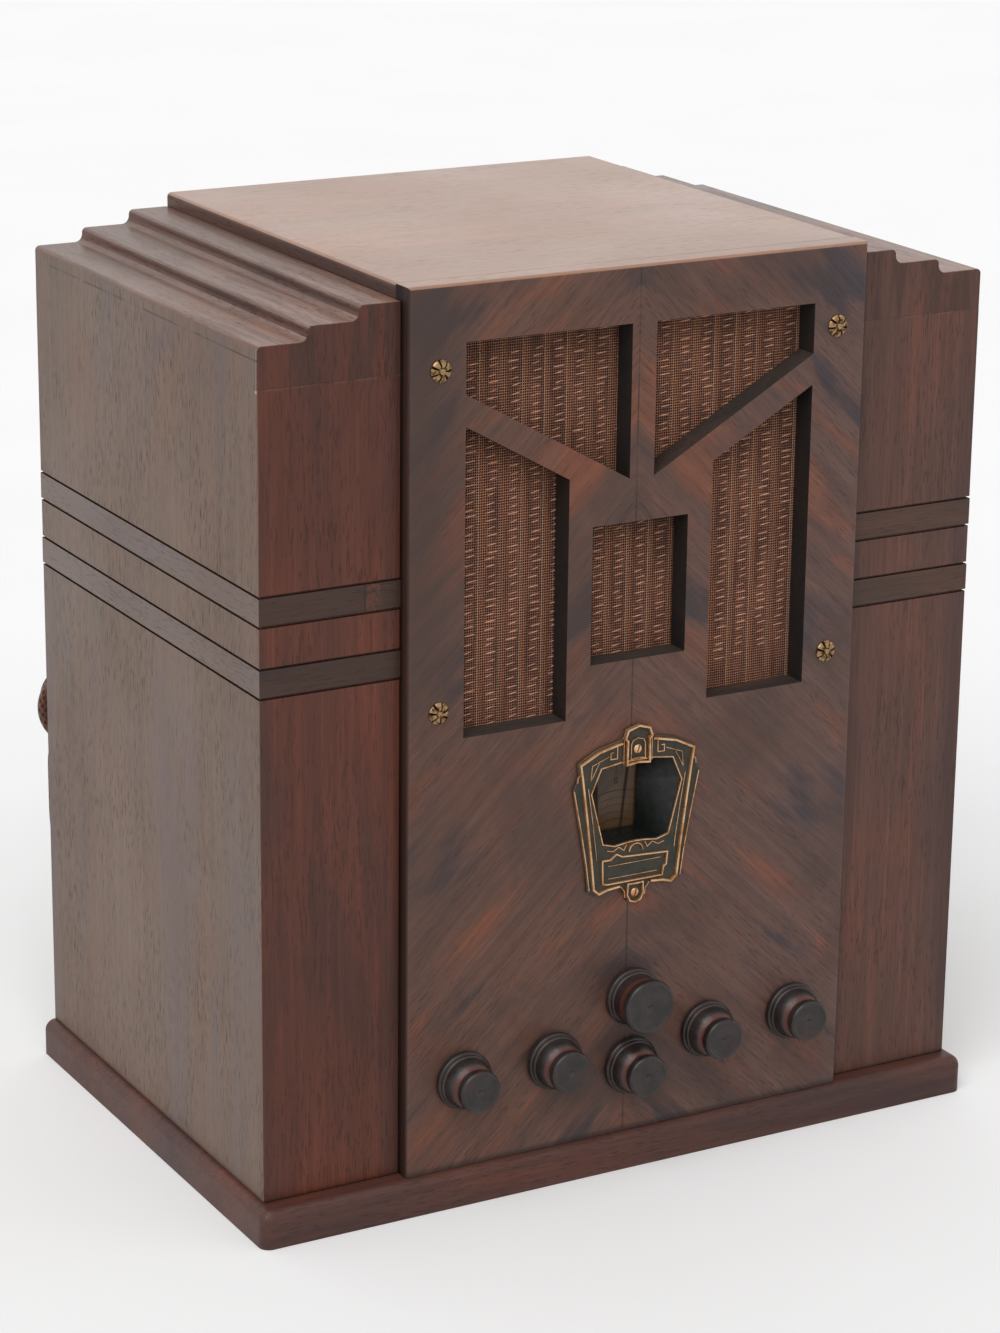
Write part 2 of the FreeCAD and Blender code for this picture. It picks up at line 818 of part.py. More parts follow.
def make_dial_hood():
    """A dark funnel that narrows from the window to the dial."""
    body = new_body("dial_hood", "0", "panel_face", "0")
    for kind, wide, narrow in (("PartDesign::AdditiveLoft", "hood_wall + hood_play", "hood_wall"),
                               ("PartDesign::SubtractiveLoft", "hood_play", "0")):
        window = new_sketch(body, "XZ_Plane")
        outline(window, window_corners(wide))
        mouth = new_sketch(body, "XZ_Plane")
        mouth.setExpression("AttachmentOffset.Base.z", named("-hood_deep"))
        outline(mouth, mouth_corners(narrow))
        loft = body.newObject(kind, "dial_hood_loft")
        loft.Profile = window
        loft.Sections = [mouth]
        loft.Ruled = True
        document.recompute()
    keep(body)


def make_dial_pointer():
    """A thin wire across the hood's mouth, leaning a little to the left."""
    wire = document.addObject("Part::Cylinder", "dial_pointer")
    wire.Label = "dial_pointer"
    wire.setExpression("Radius", named("pointer_radius"))
    wire.setExpression("Height", named("pointer_half * 2"))
    wire.Placement = FreeCAD.Placement(Vector(), FreeCAD.Rotation(Vector(0, 1, 0), -1))
    wire.setExpression("Placement.Rotation.Angle", named("pointer_lean"))
    wire.setExpression("Placement.Base.x", named("pointer_half * sin(pointer_lean)"))
    wire.setExpression("Placement.Base.y", named("panel_face + hood_deep + pointer_radius + run_play"))
    wire.setExpression("Placement.Base.z", named("window_middle - pointer_half * cos(pointer_lean)"))
    document.recompute()
    keep(wire)


def make_dial_scale():
    profile = [("rotor_shaft + press_play", "0"), ("scale_radius", "0"), ("scale_radius", "scale_thick"),
               ("rotor_shaft + press_play", "scale_thick")]
    keep(turned("dial_scale", "XY_Plane", profile, ("0", "scale_front", "disc_axis")))


def make_dial_lamps():
    """Two small lamps that hang over the top of the scale, each on an angle of sheet metal."""
    lamps = []
    brackets = []
    for side in (-1, 1):
        word = "right" if side > 0 else "left"
        across = mirrored(side, "lamp_across")
        along = "baffle_back + lamp_back"
        neck = "baffle_bottom - lamp_drop"
        tip = neck + " - lamp_long"
        glass = [("0", tip), ("lamp_radius * 0.6", tip + " + 1"), ("lamp_radius", tip + " + lamp_radius"),
                 ("lamp_radius", neck + " - lamp_radius"), ("lamp_cap * 0.8", neck), ("0", neck)]
        lamps.append(turned("dial_lamp_" + word, "XZ_Plane", glass, (across, along, "0")))
        holder = new_body("lamp_bracket_" + word, across, "0", "0")
        side_view = new_sketch(holder, "YZ_Plane")
        top = "baffle_bottom + lamp_bracket_tall"
        front = "baffle_back + lamp_bracket_deep"
        outline(side_view, [("baffle_back", "baffle_bottom + bolt_play"), ("baffle_back", top),
                            ("baffle_back + metal", top), ("baffle_back + metal", "baffle_bottom"),
                            (front, "baffle_bottom"), (front, "baffle_bottom - metal"),
                            ("baffle_back", "baffle_bottom - metal")])
        pad(holder, side_view, "lamp_bracket_wide", middle=True)
        cap = new_sketch(holder, "XY_Plane")
        circle(cap, "0", along, "lamp_cap")
        cap.setExpression("AttachmentOffset.Base.z", named(neck))
        pad(holder, cap, "lamp_drop")
        brackets.append(holder)
    cluster("dial_lamps", lamps)
    cluster("lamp_brackets", brackets)


# Knobs, shafts and controls


def make_knobs():
    for name, across, up, face in KNOBS:
        waist = "(%s - knob_waist)" % face
        swell = "(knob_swell - %s)" % waist
        bore = "shaft_radius + press_play"
        profile = [(bore, "0"), ("knob_radius - 0.6", "0"), ("knob_radius", "-0.8"), ("knob_radius", "-3"),
                   ("knob_radius - 1.2", "-4.2"), ("knob_radius - 1.2", "-5.8"), ("knob_swell", "-7"),
                   (waist + " + " + swell + " * 0.45", "-9.4"), (waist, "-13"), (waist, "-15"),
                   (face, "-16.2"), (face, "-knob_long + 1.6"), (face + " - 1.5", "-knob_long"),
                   (face + " - 2.4", "-knob_long + 0.5"), ("1.7", "-knob_long + 0.8"),
                   ("0", "-knob_long + 1.7"), ("0", "-knob_bore_deep"), (bore, "-knob_bore_deep")]
        keep(turned(name + "_knob", "XY_Plane", profile, (across, "knob_back", up)))
        if name != "tuning":
            reach = "chassis_front + metal + control_deep / 2"
            start = "knob_back - knob_bore_deep + run_play"
            length = "%s - (%s)" % (reach, start)
            profile = [("0", "0"), ("shaft_radius", "0"), ("shaft_radius", length), ("0", length)]
            keep(turned(name + "_shaft", "XY_Plane", profile, (across, start, up)))


def make_tuning_shaft():
    """Tuning shaft with the grooved bobbin that pinches the drive disc's rim."""
    start = "knob_back - knob_bore_deep + run_play"
    groove = "disc_front - run_gap - (%s)" % start
    wide = "disc_thick + run_gap * 2"
    end = "chassis_front + bracket_thick + 3 - (%s)" % start
    groove_end = "%s + %s" % (groove, wide)
    profile = [("0", "0"), ("shaft_radius", "0"), ("shaft_radius", groove + " - bobbin_cheek"),
               ("bobbin_flange", groove + " - bobbin_cheek"), ("bobbin_flange", groove),
               ("bobbin_core", groove), ("bobbin_core", groove_end), ("bobbin_flange", groove_end),
               ("bobbin_flange", groove_end + " + bobbin_cheek"),
               ("shaft_radius", groove_end + " + bobbin_cheek"), ("shaft_radius", end), ("0", end)]
    keep(turned("tuning_shaft", "XY_Plane", profile, ("0", start, "tuning_height")))


def make_controls():
    controls = []
    nuts = []
    bore = "shaft_radius + run_play"
    for name, across, up, face in KNOBS:
        if name == "tuning":
            continue
        hollow = "control_deep / 2 + run_gap"
        profile = [(bore, "-metal - bush_long"), ("bush_radius", "-metal - bush_long"), ("bush_radius", "0"),
                   ("control_radius", "0"), ("control_radius", "control_deep - 1"),
                   ("control_radius - 1", "control_deep"), ("0", "control_deep"), ("0", hollow),
                   (bore, hollow)]
        controls.append(turned(name + "_control", "XY_Plane", profile,
                               (across, "chassis_front + metal", up)))
        nuts.append(nut(name + "_control_nut", (across, "chassis_front", up), "nut_radius", "nut_thick",
                        "bush_radius + press_play", reverse=False))
    cluster("panel_controls", controls)
    cluster("control_nuts", nuts)


# Condenser and friction drive


def make_tuning_bracket():
    foot = "deck_height + bracket_foot"
    top = "deck_height + bracket_over"
    rear = "chassis_front + bracket_thick"
    side_view = [("chassis_front", "deck_height"), ("frame_front - 1", "deck_height"),
                 ("frame_front - 1", foot), (rear, foot), (rear, top), ("chassis_front", top)]
    body = prism("tuning_bracket", "YZ_Plane", side_view, "bracket_half * 2", middle=True)
    hole = new_sketch(body, "XZ_Plane")
    circle(hole, "0", "tuning_height", "shaft_radius + run_play")
    cut_through(body, hole)
    keep(body)


def make_drive_disc():
    body = turned("drive_disc", "XY_Plane",
                  [("rotor_shaft + press_play", "-disc_hub_rise"), ("disc_hub", "-disc_hub_rise"),
                   ("disc_hub", "0"), ("disc_edge", "0"), ("disc_edge", "disc_thick"),
                   ("disc_hub", "disc_thick"),
                   ("disc_hub", "disc_thick + disc_hub_rise"),
                   ("rotor_shaft + press_play", "disc_thick + disc_hub_rise")],
                  ("0", "disc_front", "disc_axis"))
    window = new_sketch(body, "XZ_Plane")
    circle(window, "0", "disc_radius * 0.52", "disc_radius * 0.2")
    opening = cut_through(body, window)
    ring = body.newObject("PartDesign::PolarPattern", "drive_disc_windows")
    ring.Originals = [opening]
    ring.Axis = (plane(body, "Y_Axis"), [""])
    ring.Angle = 360
    ring.Occurrences = 6
    body.Tip = ring
    document.recompute()
    keep(body)


def stack(body, first, axis_sketch):
    """Repeats one vane five times in each of the condenser's three sections."""
    rows = body.newObject("PartDesign::LinearPattern", body.Name + "_vanes")
    rows.Originals = [first]
    rows.Direction = (axis_sketch, ["V_Axis"])
    rows.setExpression("Length", named("vane_pitch * 4"))
    rows.Occurrences = 5
    rows.Direction2 = (axis_sketch, ["V_Axis"])
    rows.setExpression("Length2", named("gang_pitch * 2"))
    rows.Occurrences2 = 3
    body.Tip = rows
    document.recompute()


def make_rotor():
    """Half-round vanes on a shaft, half way into the stator at rest."""
    body = new_body("condenser_rotor", "0", "frame_front", "disc_axis")
    vane = new_sketch(body, "XY_Plane")
    start = "frame_sheet + frame_clear"
    outline(vane, box_corners("0", start, "plate_radius", start + " + vane"))
    first = turn(body, vane, angle=180, middle=True)
    stack(body, first, vane)
    shaft = new_sketch(body, "XY_Plane")
    low = "scale_front - 1 - frame_front"
    end = "frame_long + 4"
    outline(shaft, [("0", low), ("rotor_shaft", low), ("rotor_shaft", end), ("0", end)])
    turn(body, shaft)
    keep(body)


def make_stator():
    """Fixed vanes below the axis, on two posts between the frame's end plates."""
    body = new_body("condenser_stator", "0", "frame_front", "disc_axis")
    posts = new_sketch(body, "XZ_Plane")
    for side in (-1, 1):
        circle(posts, "%d * (stator_outer - post_radius)" % side, "-8", "post_radius")
    posts.setExpression("AttachmentOffset.Base.z", named("-frame_sheet"))
    pad(body, posts, "frame_long - frame_sheet * 2", reverse=True)
    vane = new_sketch(body, "XY_Plane")
    start = "frame_sheet + frame_clear - vane_pitch / 2"
    outline(vane, box_corners("stator_inner", start, "stator_outer", start + " + vane"))
    first = turn(body, vane, angle=180)
    stack(body, first, vane)
    keep(body)


def make_condenser_frame():
    top = "disc_axis + frame_over"
    side_view = [("frame_front", "deck_height"), ("frame_back", "deck_height"), ("frame_back", top),
                 ("frame_back - frame_sheet", top),
                 ("frame_back - frame_sheet", "deck_height + frame_sheet"),
                 ("frame_front + frame_sheet", "deck_height + frame_sheet"),
                 ("frame_front + frame_sheet", top),
                 ("frame_front", top)]
    body = prism("condenser_frame", "YZ_Plane", side_view, "frame_half * 2", middle=True)
    hole = new_sketch(body, "XZ_Plane")
    circle(hole, "0", "disc_axis", "rotor_shaft + run_play")
    cut_through(body, hole)
    keep(body)


# Chassis and what stands on it


def make_chassis_pan():
    """A folded channel with inward lips, bolted down to the base board."""
    low = "base_thick"
    lip = "base_thick + metal"
    deck = "deck_height"
    under = "deck_height - metal"
    side_view = [("chassis_front + chassis_lip", low), ("chassis_front", low), ("chassis_front", deck),
                 ("chassis_back", deck), ("chassis_back", low), ("chassis_back - chassis_lip", low),
                 ("chassis_back - chassis_lip", lip), ("chassis_back - metal", lip),
                 ("chassis_back - metal", under), ("chassis_front + metal", under),
                 ("chassis_front + metal", lip), ("chassis_front + chassis_lip", lip)]
    body = prism("chassis_pan", "YZ_Plane", side_view, "chassis_half * 2", middle=True)
    holes = new_sketch(body, "XZ_Plane")
    for name, across, up, face in KNOBS:
        if name != "tuning":
            circle(holes, across, up, "bush_radius + bolt_play")
    holes.setExpression("AttachmentOffset.Base.z", named("-chassis_front"))
    cut(body, holes, "metal * 4", middle=True)
    bolts = new_sketch(body, "XY_Plane")
    for across, along in foot_bolts():
        circle(bolts, across, along, "foot_bolt_radius + bolt_play")
    bolts.setExpression("AttachmentOffset.Base.z", named("base_thick"))
    cut(body, bolts, "metal * 4", middle=True)
    keep(body)


def make_foot_bolts():
    bolts = []
    for number, (across, along) in enumerate(foot_bolts()):
        under = "bolt_play * 2 + foot_bolt_head_thick"
        clamp = "base_thick + metal"
        end = clamp + " + 7"
        profile = [("0", "bolt_play * 2"), ("foot_bolt_head", "bolt_play * 2"), ("foot_bolt_head", under),
                   ("foot_bolt_radius", under), ("foot_bolt_radius", clamp), ("foot_bolt_radius * 2", clamp),
                   ("foot_bolt_radius * 2", clamp + " + 4"), ("foot_bolt_radius", clamp + " + 4"),
                   ("foot_bolt_radius", end), ("0", end)]
        bolts.append(turned("foot_bolt_%d" % number, "XZ_Plane", profile, (across, along, "0")))
    cluster("foot_bolts", bolts)


def deck_row(row):
    return "chassis_front + tube_front + row_pitch * %d" % row


def make_tubes():
    sockets = []
    bases = []
    bulbs = []
    shields = []
    for number, (across, row) in enumerate(SHIELDED_TUBES + BARE_TUBES):
        place = (across, deck_row(row), "deck_height")
        sockets.append(turned("socket_%d" % number, "XZ_Plane",
                              [("0", "0"), ("socket_radius", "0"), ("socket_radius", "socket_thick"),
                               ("0", "socket_thick")], place))
        top = "socket_thick + tube_base_tall"
        bases.append(turned("base_%d" % number, "XZ_Plane",
                            [("0", "socket_thick"), ("tube_base_radius", "socket_thick"),
                             ("tube_base_radius", top), ("0", top)], place))
        bulb = [("0", top)]
        for out, high in BULB_SHARES:
            bulb.append(("bulb_radius * %g" % out, "%s + bulb_tall * %g" % (top, high)))
        bulb.append(("0", top + " + bulb_tall"))
        bulbs.append(turned("bulb_%d" % number, "XZ_Plane", bulb, place))
        if (across, row) in SHIELDED_TUBES:
            inner = "shield_radius - 0.8"
            shields.append(turned("shield_%d" % number, "XZ_Plane",
                                  [(inner, "0"), ("shield_radius", "0"),
                                   ("shield_radius", "shield_tall - 4"),
                                   ("shield_radius - 4", "shield_tall"), ("0", "shield_tall"),
                                   ("0", "shield_tall - 1"), ("shield_radius - 4.4", "shield_tall - 1"),
                                   (inner, "shield_tall - 4.4")], place))
    cluster("tube_sockets", sockets)
    cluster("tube_bases", bases)
    cluster("tube_bulbs", bulbs)
    cluster("tube_shields", shields)


def make_cans():
    cans = []
    for number, (across, row) in enumerate(CANS):
        body = prism("if_can_%d" % number, "XY_Plane",
                     box_corners("-can_side / 2", "-can_side / 2", "can_side / 2", "can_side / 2"),
                     "can_tall", (across, deck_row(row), "deck_height"))
        fillet(body, "3", lambda middle, way: runs_along(way, 2))
        cans.append(body)
    cluster("if_transformer_cans", cans)
    filters = []
    for number, across in enumerate((INNER_COLUMN, OUTER_COLUMN)):
        profile = [("0", "0"), ("filter_radius", "0"), ("filter_radius", "filter_tall - 3"),
                   ("filter_radius - 3", "filter_tall"), ("0", "filter_tall")]
        filters.append(turned("filter_%d" % number, "XZ_Plane", profile,
                              ("-(%s)" % across, "chassis_front + filter_front", "deck_height")))
    cluster("filter_capacitors", filters)


def make_power_transformer():
    body = prism("power_transformer", "XY_Plane",
                 box_corners("-mains_wide / 2", "-mains_deep / 2", "mains_wide / 2", "mains_deep / 2"),
                 "mains_tall", ("mains_across", "mains_middle", "deck_height"))
    fillet(body, "5", lambda middle, way: runs_along(way, 2))
    keep(body)


def make_terminal_strip():
    body = prism("terminal_strip", "XZ_Plane",
                 box_corners("-strip_long / 2", "-strip_tall / 2", "strip_long / 2", "strip_tall / 2"),
                 "strip_thick", ("strip_across", "chassis_back", "strip_height"), reverse=True)
    posts = new_sketch(body, "XZ_Plane")
    for step in (-1, 0, 1):
        circle(posts, "%d * strip_post_pitch" % step, "0", "strip_post")
    pad(body, posts, "strip_post_long", reverse=True)
    keep(body)


# Loudspeaker


def make_speaker():
    spot = ("0", "baffle_back", "speaker_height")
    floor = "basket_deep - basket_sheet"
    profile = [("cone_radius", "0"), ("speaker_radius", "0"), ("speaker_radius", "basket_sheet"),
               ("cone_radius + 8", "basket_sheet"), ("basket_neck", "basket_deep"), ("28", "basket_deep"),
               ("28", floor), ("basket_neck - 1.6", floor), ("cone_radius + 5.4", "basket_sheet"),
               ("cone_radius", "basket_sheet")]
    basket = turned("speaker_basket", "XY_Plane", profile, spot)
    holes = new_sketch(basket, "XZ_Plane")
    for side in (-1, 1):
        for rise in (-1, 1):
            circle(holes, "%d * bolt_circle * sqrt(0.5)" % side, "%d * bolt_circle * sqrt(0.5)" % rise,
                   "speaker_bolt + bolt_play")
    cut_through(basket, holes)
    window = new_sketch(basket, "XZ_Plane")
    outline(window, [("-13", "basket_neck + 5"), ("13", "basket_neck + 5"), ("22", "cone_radius - 3"),
                     ("-22", "cone_radius - 3")])
    opening = cut_through(basket, window)
    ring = basket.newObject("PartDesign::PolarPattern", "speaker_basket_windows")
    ring.Originals = [opening]
    ring.Axis = (plane(basket, "Y_Axis"), [""])
    ring.Angle = 360
    ring.Occurrences = 6
    basket.Tip = ring
    document.recompute()
    keep(basket)
    throat = "basket_deep - 14"
    wall = "voice_coil + 0.8"
    cone = [("cone_radius - 0.5", "0.4"), ("cone_radius - 0.5", "1.6"), ("cone_radius - 7", "2.6"),
            (wall, throat), (wall, "basket_deep + 6"), ("voice_coil", "basket_deep + 6"),
            ("voice_coil", throat + " - 1.4"), ("cone_radius - 7.6", "1.2")]
    keep(turned("speaker_cone", "XY_Plane", cone, spot))
    deep = "basket_deep + pot_deep"
    gap = "voice_coil + 1.8"
    pot = [("0", "basket_deep - 10"), ("core_radius", "basket_deep - 10"),
           ("core_radius", "basket_deep + 8"),
           (gap, "basket_deep + 8"), (gap, "basket_deep"), ("pot_radius", "basket_deep"),
           ("pot_radius", deep), ("0", deep)]
    keep(turned("speaker_magnet", "XY_Plane", pot, spot))
    block = prism("output_transformer", "XZ_Plane", box_corners("-25", "-20", "25", "20"), "36",
                  ("0", "baffle_back + basket_deep + pot_deep", "speaker_height"), reverse=True)
    fillet(block, "2", lambda middle, way: runs_along(way, 1))
    keep(block)
    bolts = []
    for number, (across, up) in enumerate(speaker_bolt_spots()):
        seat = "baffle_thick + basket_sheet"
        profile = [("0", "bolt_play"), ("speaker_bolt * 2", "bolt_play"),
                   ("speaker_bolt * 2", "speaker_bolt + bolt_play"),
                   ("speaker_bolt", "speaker_bolt + bolt_play"), ("speaker_bolt", seat),
                   ("speaker_bolt * 2", seat), ("speaker_bolt * 2", seat + " + 3"),
                   ("speaker_bolt", seat + " + 3"), ("speaker_bolt", seat + " + 5"), ("0", seat + " + 5")]
        bolts.append(turned("speaker_bolt_%d" % number, "XY_Plane", profile, (across, "cloth_back", up)))
    cluster("speaker_bolts", bolts)


# Mains cord, its sleeve, the tied hank and the plug


def make_cord_sleeve():
    profile = [("0", "0"), ("8.5", "0"), ("8.5", "3"), ("6.8", "4"), ("cord_radius + 1.2", "sleeve_long"),
               ("0", "sleeve_long")]
    keep(turned("cord_sleeve", "XY_Plane", profile, ("sleeve_across", "chassis_back", "sleeve_height")))


def rounded_path(points):
    """Straight runs joined by tangent arcs, each arc as large as its two runs allow."""
    route = [Vector(*point) for point in points]
    edges = []
    radii = []
    start = route[0]
    for before, corner, after in zip(route, route[1:], route[2:]):
        to_before = (before - corner).normalize()
        to_after = (after - corner).normalize()
        half_turn = (math.pi - to_before.getAngle(to_after)) / 2
        reach = 0.45 * min((corner - before).Length, (after - corner).Length)
        radii.append(reach / math.tan(half_turn))
        enter = corner + to_before * reach
        leave = corner + to_after * reach
        inward = (to_before + to_after).normalize()
        centre = corner + inward * (reach / math.sin(half_turn)) if half_turn > 0 else corner
        middle = centre - inward * radii[-1]
        edges.append(Part.LineSegment(start, enter).toShape())
        edges.append(Part.Arc(enter, middle, leave).toShape())
        start = leave
    edges.append(Part.LineSegment(start, route[-1]).toShape())
    return Part.Wire(edges), radii


def make_cord():
    path, radii = rounded_path(CORD_ROUTE)
    radius = value("cord_radius")
    first, second = (Vector(*point) for point in CORD_ROUTE[:2])
    section = Part.Wire(Part.makeCircle(radius, first, second - first))
    solid = path.makePipeShell([section], True, False)
    expected = math.pi * radius ** 2 * path.Length
    print("cord: length %.1f, radii %s" % (path.Length, " ".join("%.0f" % item for item in radii)))
    print("cord: volume %.0f, section times length %.0f" % (solid.Volume, expected))
    cord = document.addObject("Part::Feature", "mains_cord")
    cord.Label = "mains_cord"
    cord.Shape = solid
    keep(cord)


def bend(points, reach, aside, rise):
    """Carries a path on by two equal arcs that leave and end along its run, a step aside and up."""
    step = Vector(reach, aside, rise)
    start = points[-1]
    slant = Vector(0, aside, rise)
    half_angle = math.atan2(slant.Length, abs(reach))
    radius = abs(reach) / (2 * math.sin(2 * half_angle))
    way = Vector(math.copysign(1, reach), 0, 0)
    sag = radius * (1 - math.cos(half_angle))
    off = slant.normalize()
    first = start + way * (radius * math.sin(half_angle)) + off * sag
    last = start + step - way * (radius * math.sin(half_angle)) - off * sag
    points += [first, start + step * 0.5, last, start + step]


def hank_points(radius):
    """Points of the wound cord in the hank's own frame, three to an arc: along it, across it and up."""
    fold = value("hank_tall") / 2 - radius
    near_fold = value("hank_tall") / 2
    run = value("hank_long") - near_fold * 2
    pitch = value("hank_pitch")
    waist = value("hank_waist")
    slant = fold * math.sqrt(0.5)
    points = [Vector(near_fold - fold, value("hank_thick") / 2 - radius, radius - fold)]
    points += [points[0] + Vector(fold - slant, 0, slant), points[0] + Vector(fold, 0, fold)]
    for step in range(int(value("hank_turns"))):
        bend(points, run, -pitch, 0)
        points += [points[-1] + Vector(fold, 0, fold), points[-1] + Vector(0, 0, fold * 2)]
        bend(points, -run / 2, 0, -waist)
        bend(points, -run / 2, 0, waist)
        points += [points[-1] - Vector(fold, 0, fold), points[-1] - Vector(0, 0, fold * 2)]
    tail = value("plug_along") - radius * 2 - near_fold
    bend(points, tail, -value("plug_aside"), value("plug_radius") - radius)
    return points


def least_gap(path, radius):
    """Least distance between two stretches of a wound tube's surface."""
    step = radius / 2
    points = path.discretize(Distance=step)
    apart = int(math.pi * radius * 2 / step)
    cells = {}
    least = radius * 4
    for number, point in enumerate(points):
        cell = tuple(int(math.floor(part / least)) for part in point)
        around = [(cell[0] + across, cell[1] + along, cell[2] + up)
                  for across in (-1, 0, 1) for along in (-1, 0, 1) for up in (-1, 0, 1)]
        for other in (item for key in around for item in cells.get(key, ())):
            if number - other > apart:
                least = min(least, (point - points[other]).Length)
        cells.setdefault(cell, []).append(number)
    return least - radius * 2


def make_hank():
    """The put-away length, wound in one tube: flat runs below, runs drawn in at the waist above."""
    radius = value("cord_radius")
    points = hank_points(radius)
    lead = Vector(0, 0, radius * 2)
    tail = Vector(radius * 2, 0, 0)
    edges = [Part.LineSegment(points[0] - lead, points[0]).toShape()]
    for start, middle, end in zip(points[::2], points[1::2], points[2::2]):
        edges.append(Part.Arc(start, middle, end).toShape())
    edges.append(Part.LineSegment(points[-1], points[-1] + tail).toShape())
    path = Part.Wire(edges)
    section = Part.Wire(Part.makeCircle(radius, points[0] - lead, lead))
    solid = path.makePipeShell([section], True, False)
    print("hank: length %.1f, least gap %.2f" % (path.Length, least_gap(path, radius)))
    swept = math.pi * radius ** 2 * path.Length
    print("hank: volume %.0f, section times length %.0f" % (solid.Volume, swept))
    hank = document.addObject("Part::Feature", "cord_hank")
    hank.Label = "cord_hank"
    hank.Shape = solid
    spot = Vector(value("hank_end_across"), value("back") + value("hank_end_back"), value("mains_top"))
    hank.Placement = FreeCAD.Placement(spot, FreeCAD.Rotation(Vector(0, 0, 1), value("hank_turn")))
    keep(hank)


def make_plug():
    """Round plug that lies on the transformer beside the hank, and ends the cord."""
    side = "(hank_thick / 2 - cord_radius + plug_aside)"
    across = "hank_end_across + plug_along * cos(hank_turn) + %s * sin(hank_turn)" % side
    along = "back + hank_end_back + plug_along * sin(hank_turn) - %s * cos(hank_turn)" % side
    profile = [("0", "0"), ("5", "0"), ("7", "8"), ("plug_radius", "13"), ("plug_radius", "plug_long - 3"),
               ("plug_radius - 2", "plug_long"), ("0", "plug_long")]
    body = turned("mains_plug", "XY_Plane", profile, (across, along, "mains_top + plug_radius"),
                  rotate="hank_turn - 90")
    prongs = new_sketch(body, "XZ_Plane")
    for side in (-1, 1):
        outline(prongs, box_corners("%d * 5.6" % side, "-3.2", "%d * 7.2" % side, "3.2"))
    prongs.setExpression("AttachmentOffset.Base.z", named("-plug_long + 2"))
    pad(body, prongs, "prong_long + 2", reverse=True)
    keep(body)


def check_document():
    for item in document.Objects:
        if "Invalid" in item.State or "Error" in item.State:
            raise RuntimeError("%s is in state %s" % (item.Label, item.State))
    for node in nodes:
        if node.Shape.isNull() or not node.Shape.isValid() or not node.Shape.Solids:
            raise RuntimeError(node.Label + " has no valid shape")


def write_parts():
    os.makedirs("parts", exist_ok=True)
    for node in nodes:
        node.Shape.exportStep("parts/%s.step" % node.Label)
    print("%d nodes, %d solids" % (len(nodes), sum(len(node.Shape.Solids) for node in nodes)))


fill_sheet()
make_base_board()
for word, way in (("left", -1), ("right", 1)):
    make_side_panel(word, way)
    make_pilaster(word, way)
    make_shoulder(word, way)
make_top_panel()
make_front_panel()
make_inlay_bands()
make_battens()
make_grille_cloth()
make_baffle_board()
make_rosette_screws()
make_escutcheon()
make_escutcheon_screws()
make_dial_hood()
make_dial_pointer()
make_dial_scale()
make_dial_lamps()
make_knobs()
make_tuning_shaft()
make_controls()
make_tuning_bracket()
make_drive_disc()
make_rotor()
make_stator()
make_condenser_frame()
make_chassis_pan()
make_foot_bolts()
make_tubes()
make_cans()
make_power_transformer()
make_terminal_strip()
make_speaker()
make_cord_sleeve()
make_cord()
make_hank()
make_plug()
document.recompute()
check_document()
write_parts()
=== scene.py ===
import json
import math

import bmesh
import bpy
from bpy.props import FloatProperty, FloatVectorProperty, IntProperty, PointerProperty
from mathutils import Matrix, Vector

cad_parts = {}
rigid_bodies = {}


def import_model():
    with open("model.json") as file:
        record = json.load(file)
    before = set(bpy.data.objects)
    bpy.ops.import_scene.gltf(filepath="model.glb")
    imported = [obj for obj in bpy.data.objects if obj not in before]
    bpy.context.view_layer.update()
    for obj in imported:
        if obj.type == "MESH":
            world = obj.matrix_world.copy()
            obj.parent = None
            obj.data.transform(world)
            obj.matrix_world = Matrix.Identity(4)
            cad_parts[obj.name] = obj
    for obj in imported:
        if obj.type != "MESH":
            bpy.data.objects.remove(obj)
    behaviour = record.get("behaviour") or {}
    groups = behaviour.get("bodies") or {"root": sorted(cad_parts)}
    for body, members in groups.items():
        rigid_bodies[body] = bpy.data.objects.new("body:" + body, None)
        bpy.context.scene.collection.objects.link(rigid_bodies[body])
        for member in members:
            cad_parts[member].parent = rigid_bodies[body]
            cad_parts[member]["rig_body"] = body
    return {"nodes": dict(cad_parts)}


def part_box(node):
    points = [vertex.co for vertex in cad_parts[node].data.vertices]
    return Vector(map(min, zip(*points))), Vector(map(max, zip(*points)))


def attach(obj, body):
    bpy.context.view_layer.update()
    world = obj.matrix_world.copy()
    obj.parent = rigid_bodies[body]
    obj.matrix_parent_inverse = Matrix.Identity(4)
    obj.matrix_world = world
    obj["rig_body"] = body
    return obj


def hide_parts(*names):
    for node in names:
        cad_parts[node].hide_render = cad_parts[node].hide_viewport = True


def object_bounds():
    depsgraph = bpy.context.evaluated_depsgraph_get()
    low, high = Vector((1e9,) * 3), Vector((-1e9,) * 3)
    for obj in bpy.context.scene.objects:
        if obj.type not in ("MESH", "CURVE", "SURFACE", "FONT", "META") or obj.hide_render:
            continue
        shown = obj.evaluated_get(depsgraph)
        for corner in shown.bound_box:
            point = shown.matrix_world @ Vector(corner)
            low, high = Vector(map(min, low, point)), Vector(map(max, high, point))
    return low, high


bl_info = {
    "name": "Tombstone radio finishes",
    "version": (1, 0, 0),
    "blender": (4, 5, 0),
    "location": "3D View > Sidebar > Radio",
    "description": "Woods, cloth, brass, knobs and works of a tombstone radio, built round its frame",
    "category": "Object",
}

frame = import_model()
CAD_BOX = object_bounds()
NODES = frame["nodes"]
MM = 0.001
FRONT = Vector((0, -1, 0))
UP = Vector((0, 0, 1))
ORIGIN = Vector((0, 0, 0))
LOOP_OPEN = math.radians(9.5)
WAIST = (71.5, 89.5)
NUMBERS = 20


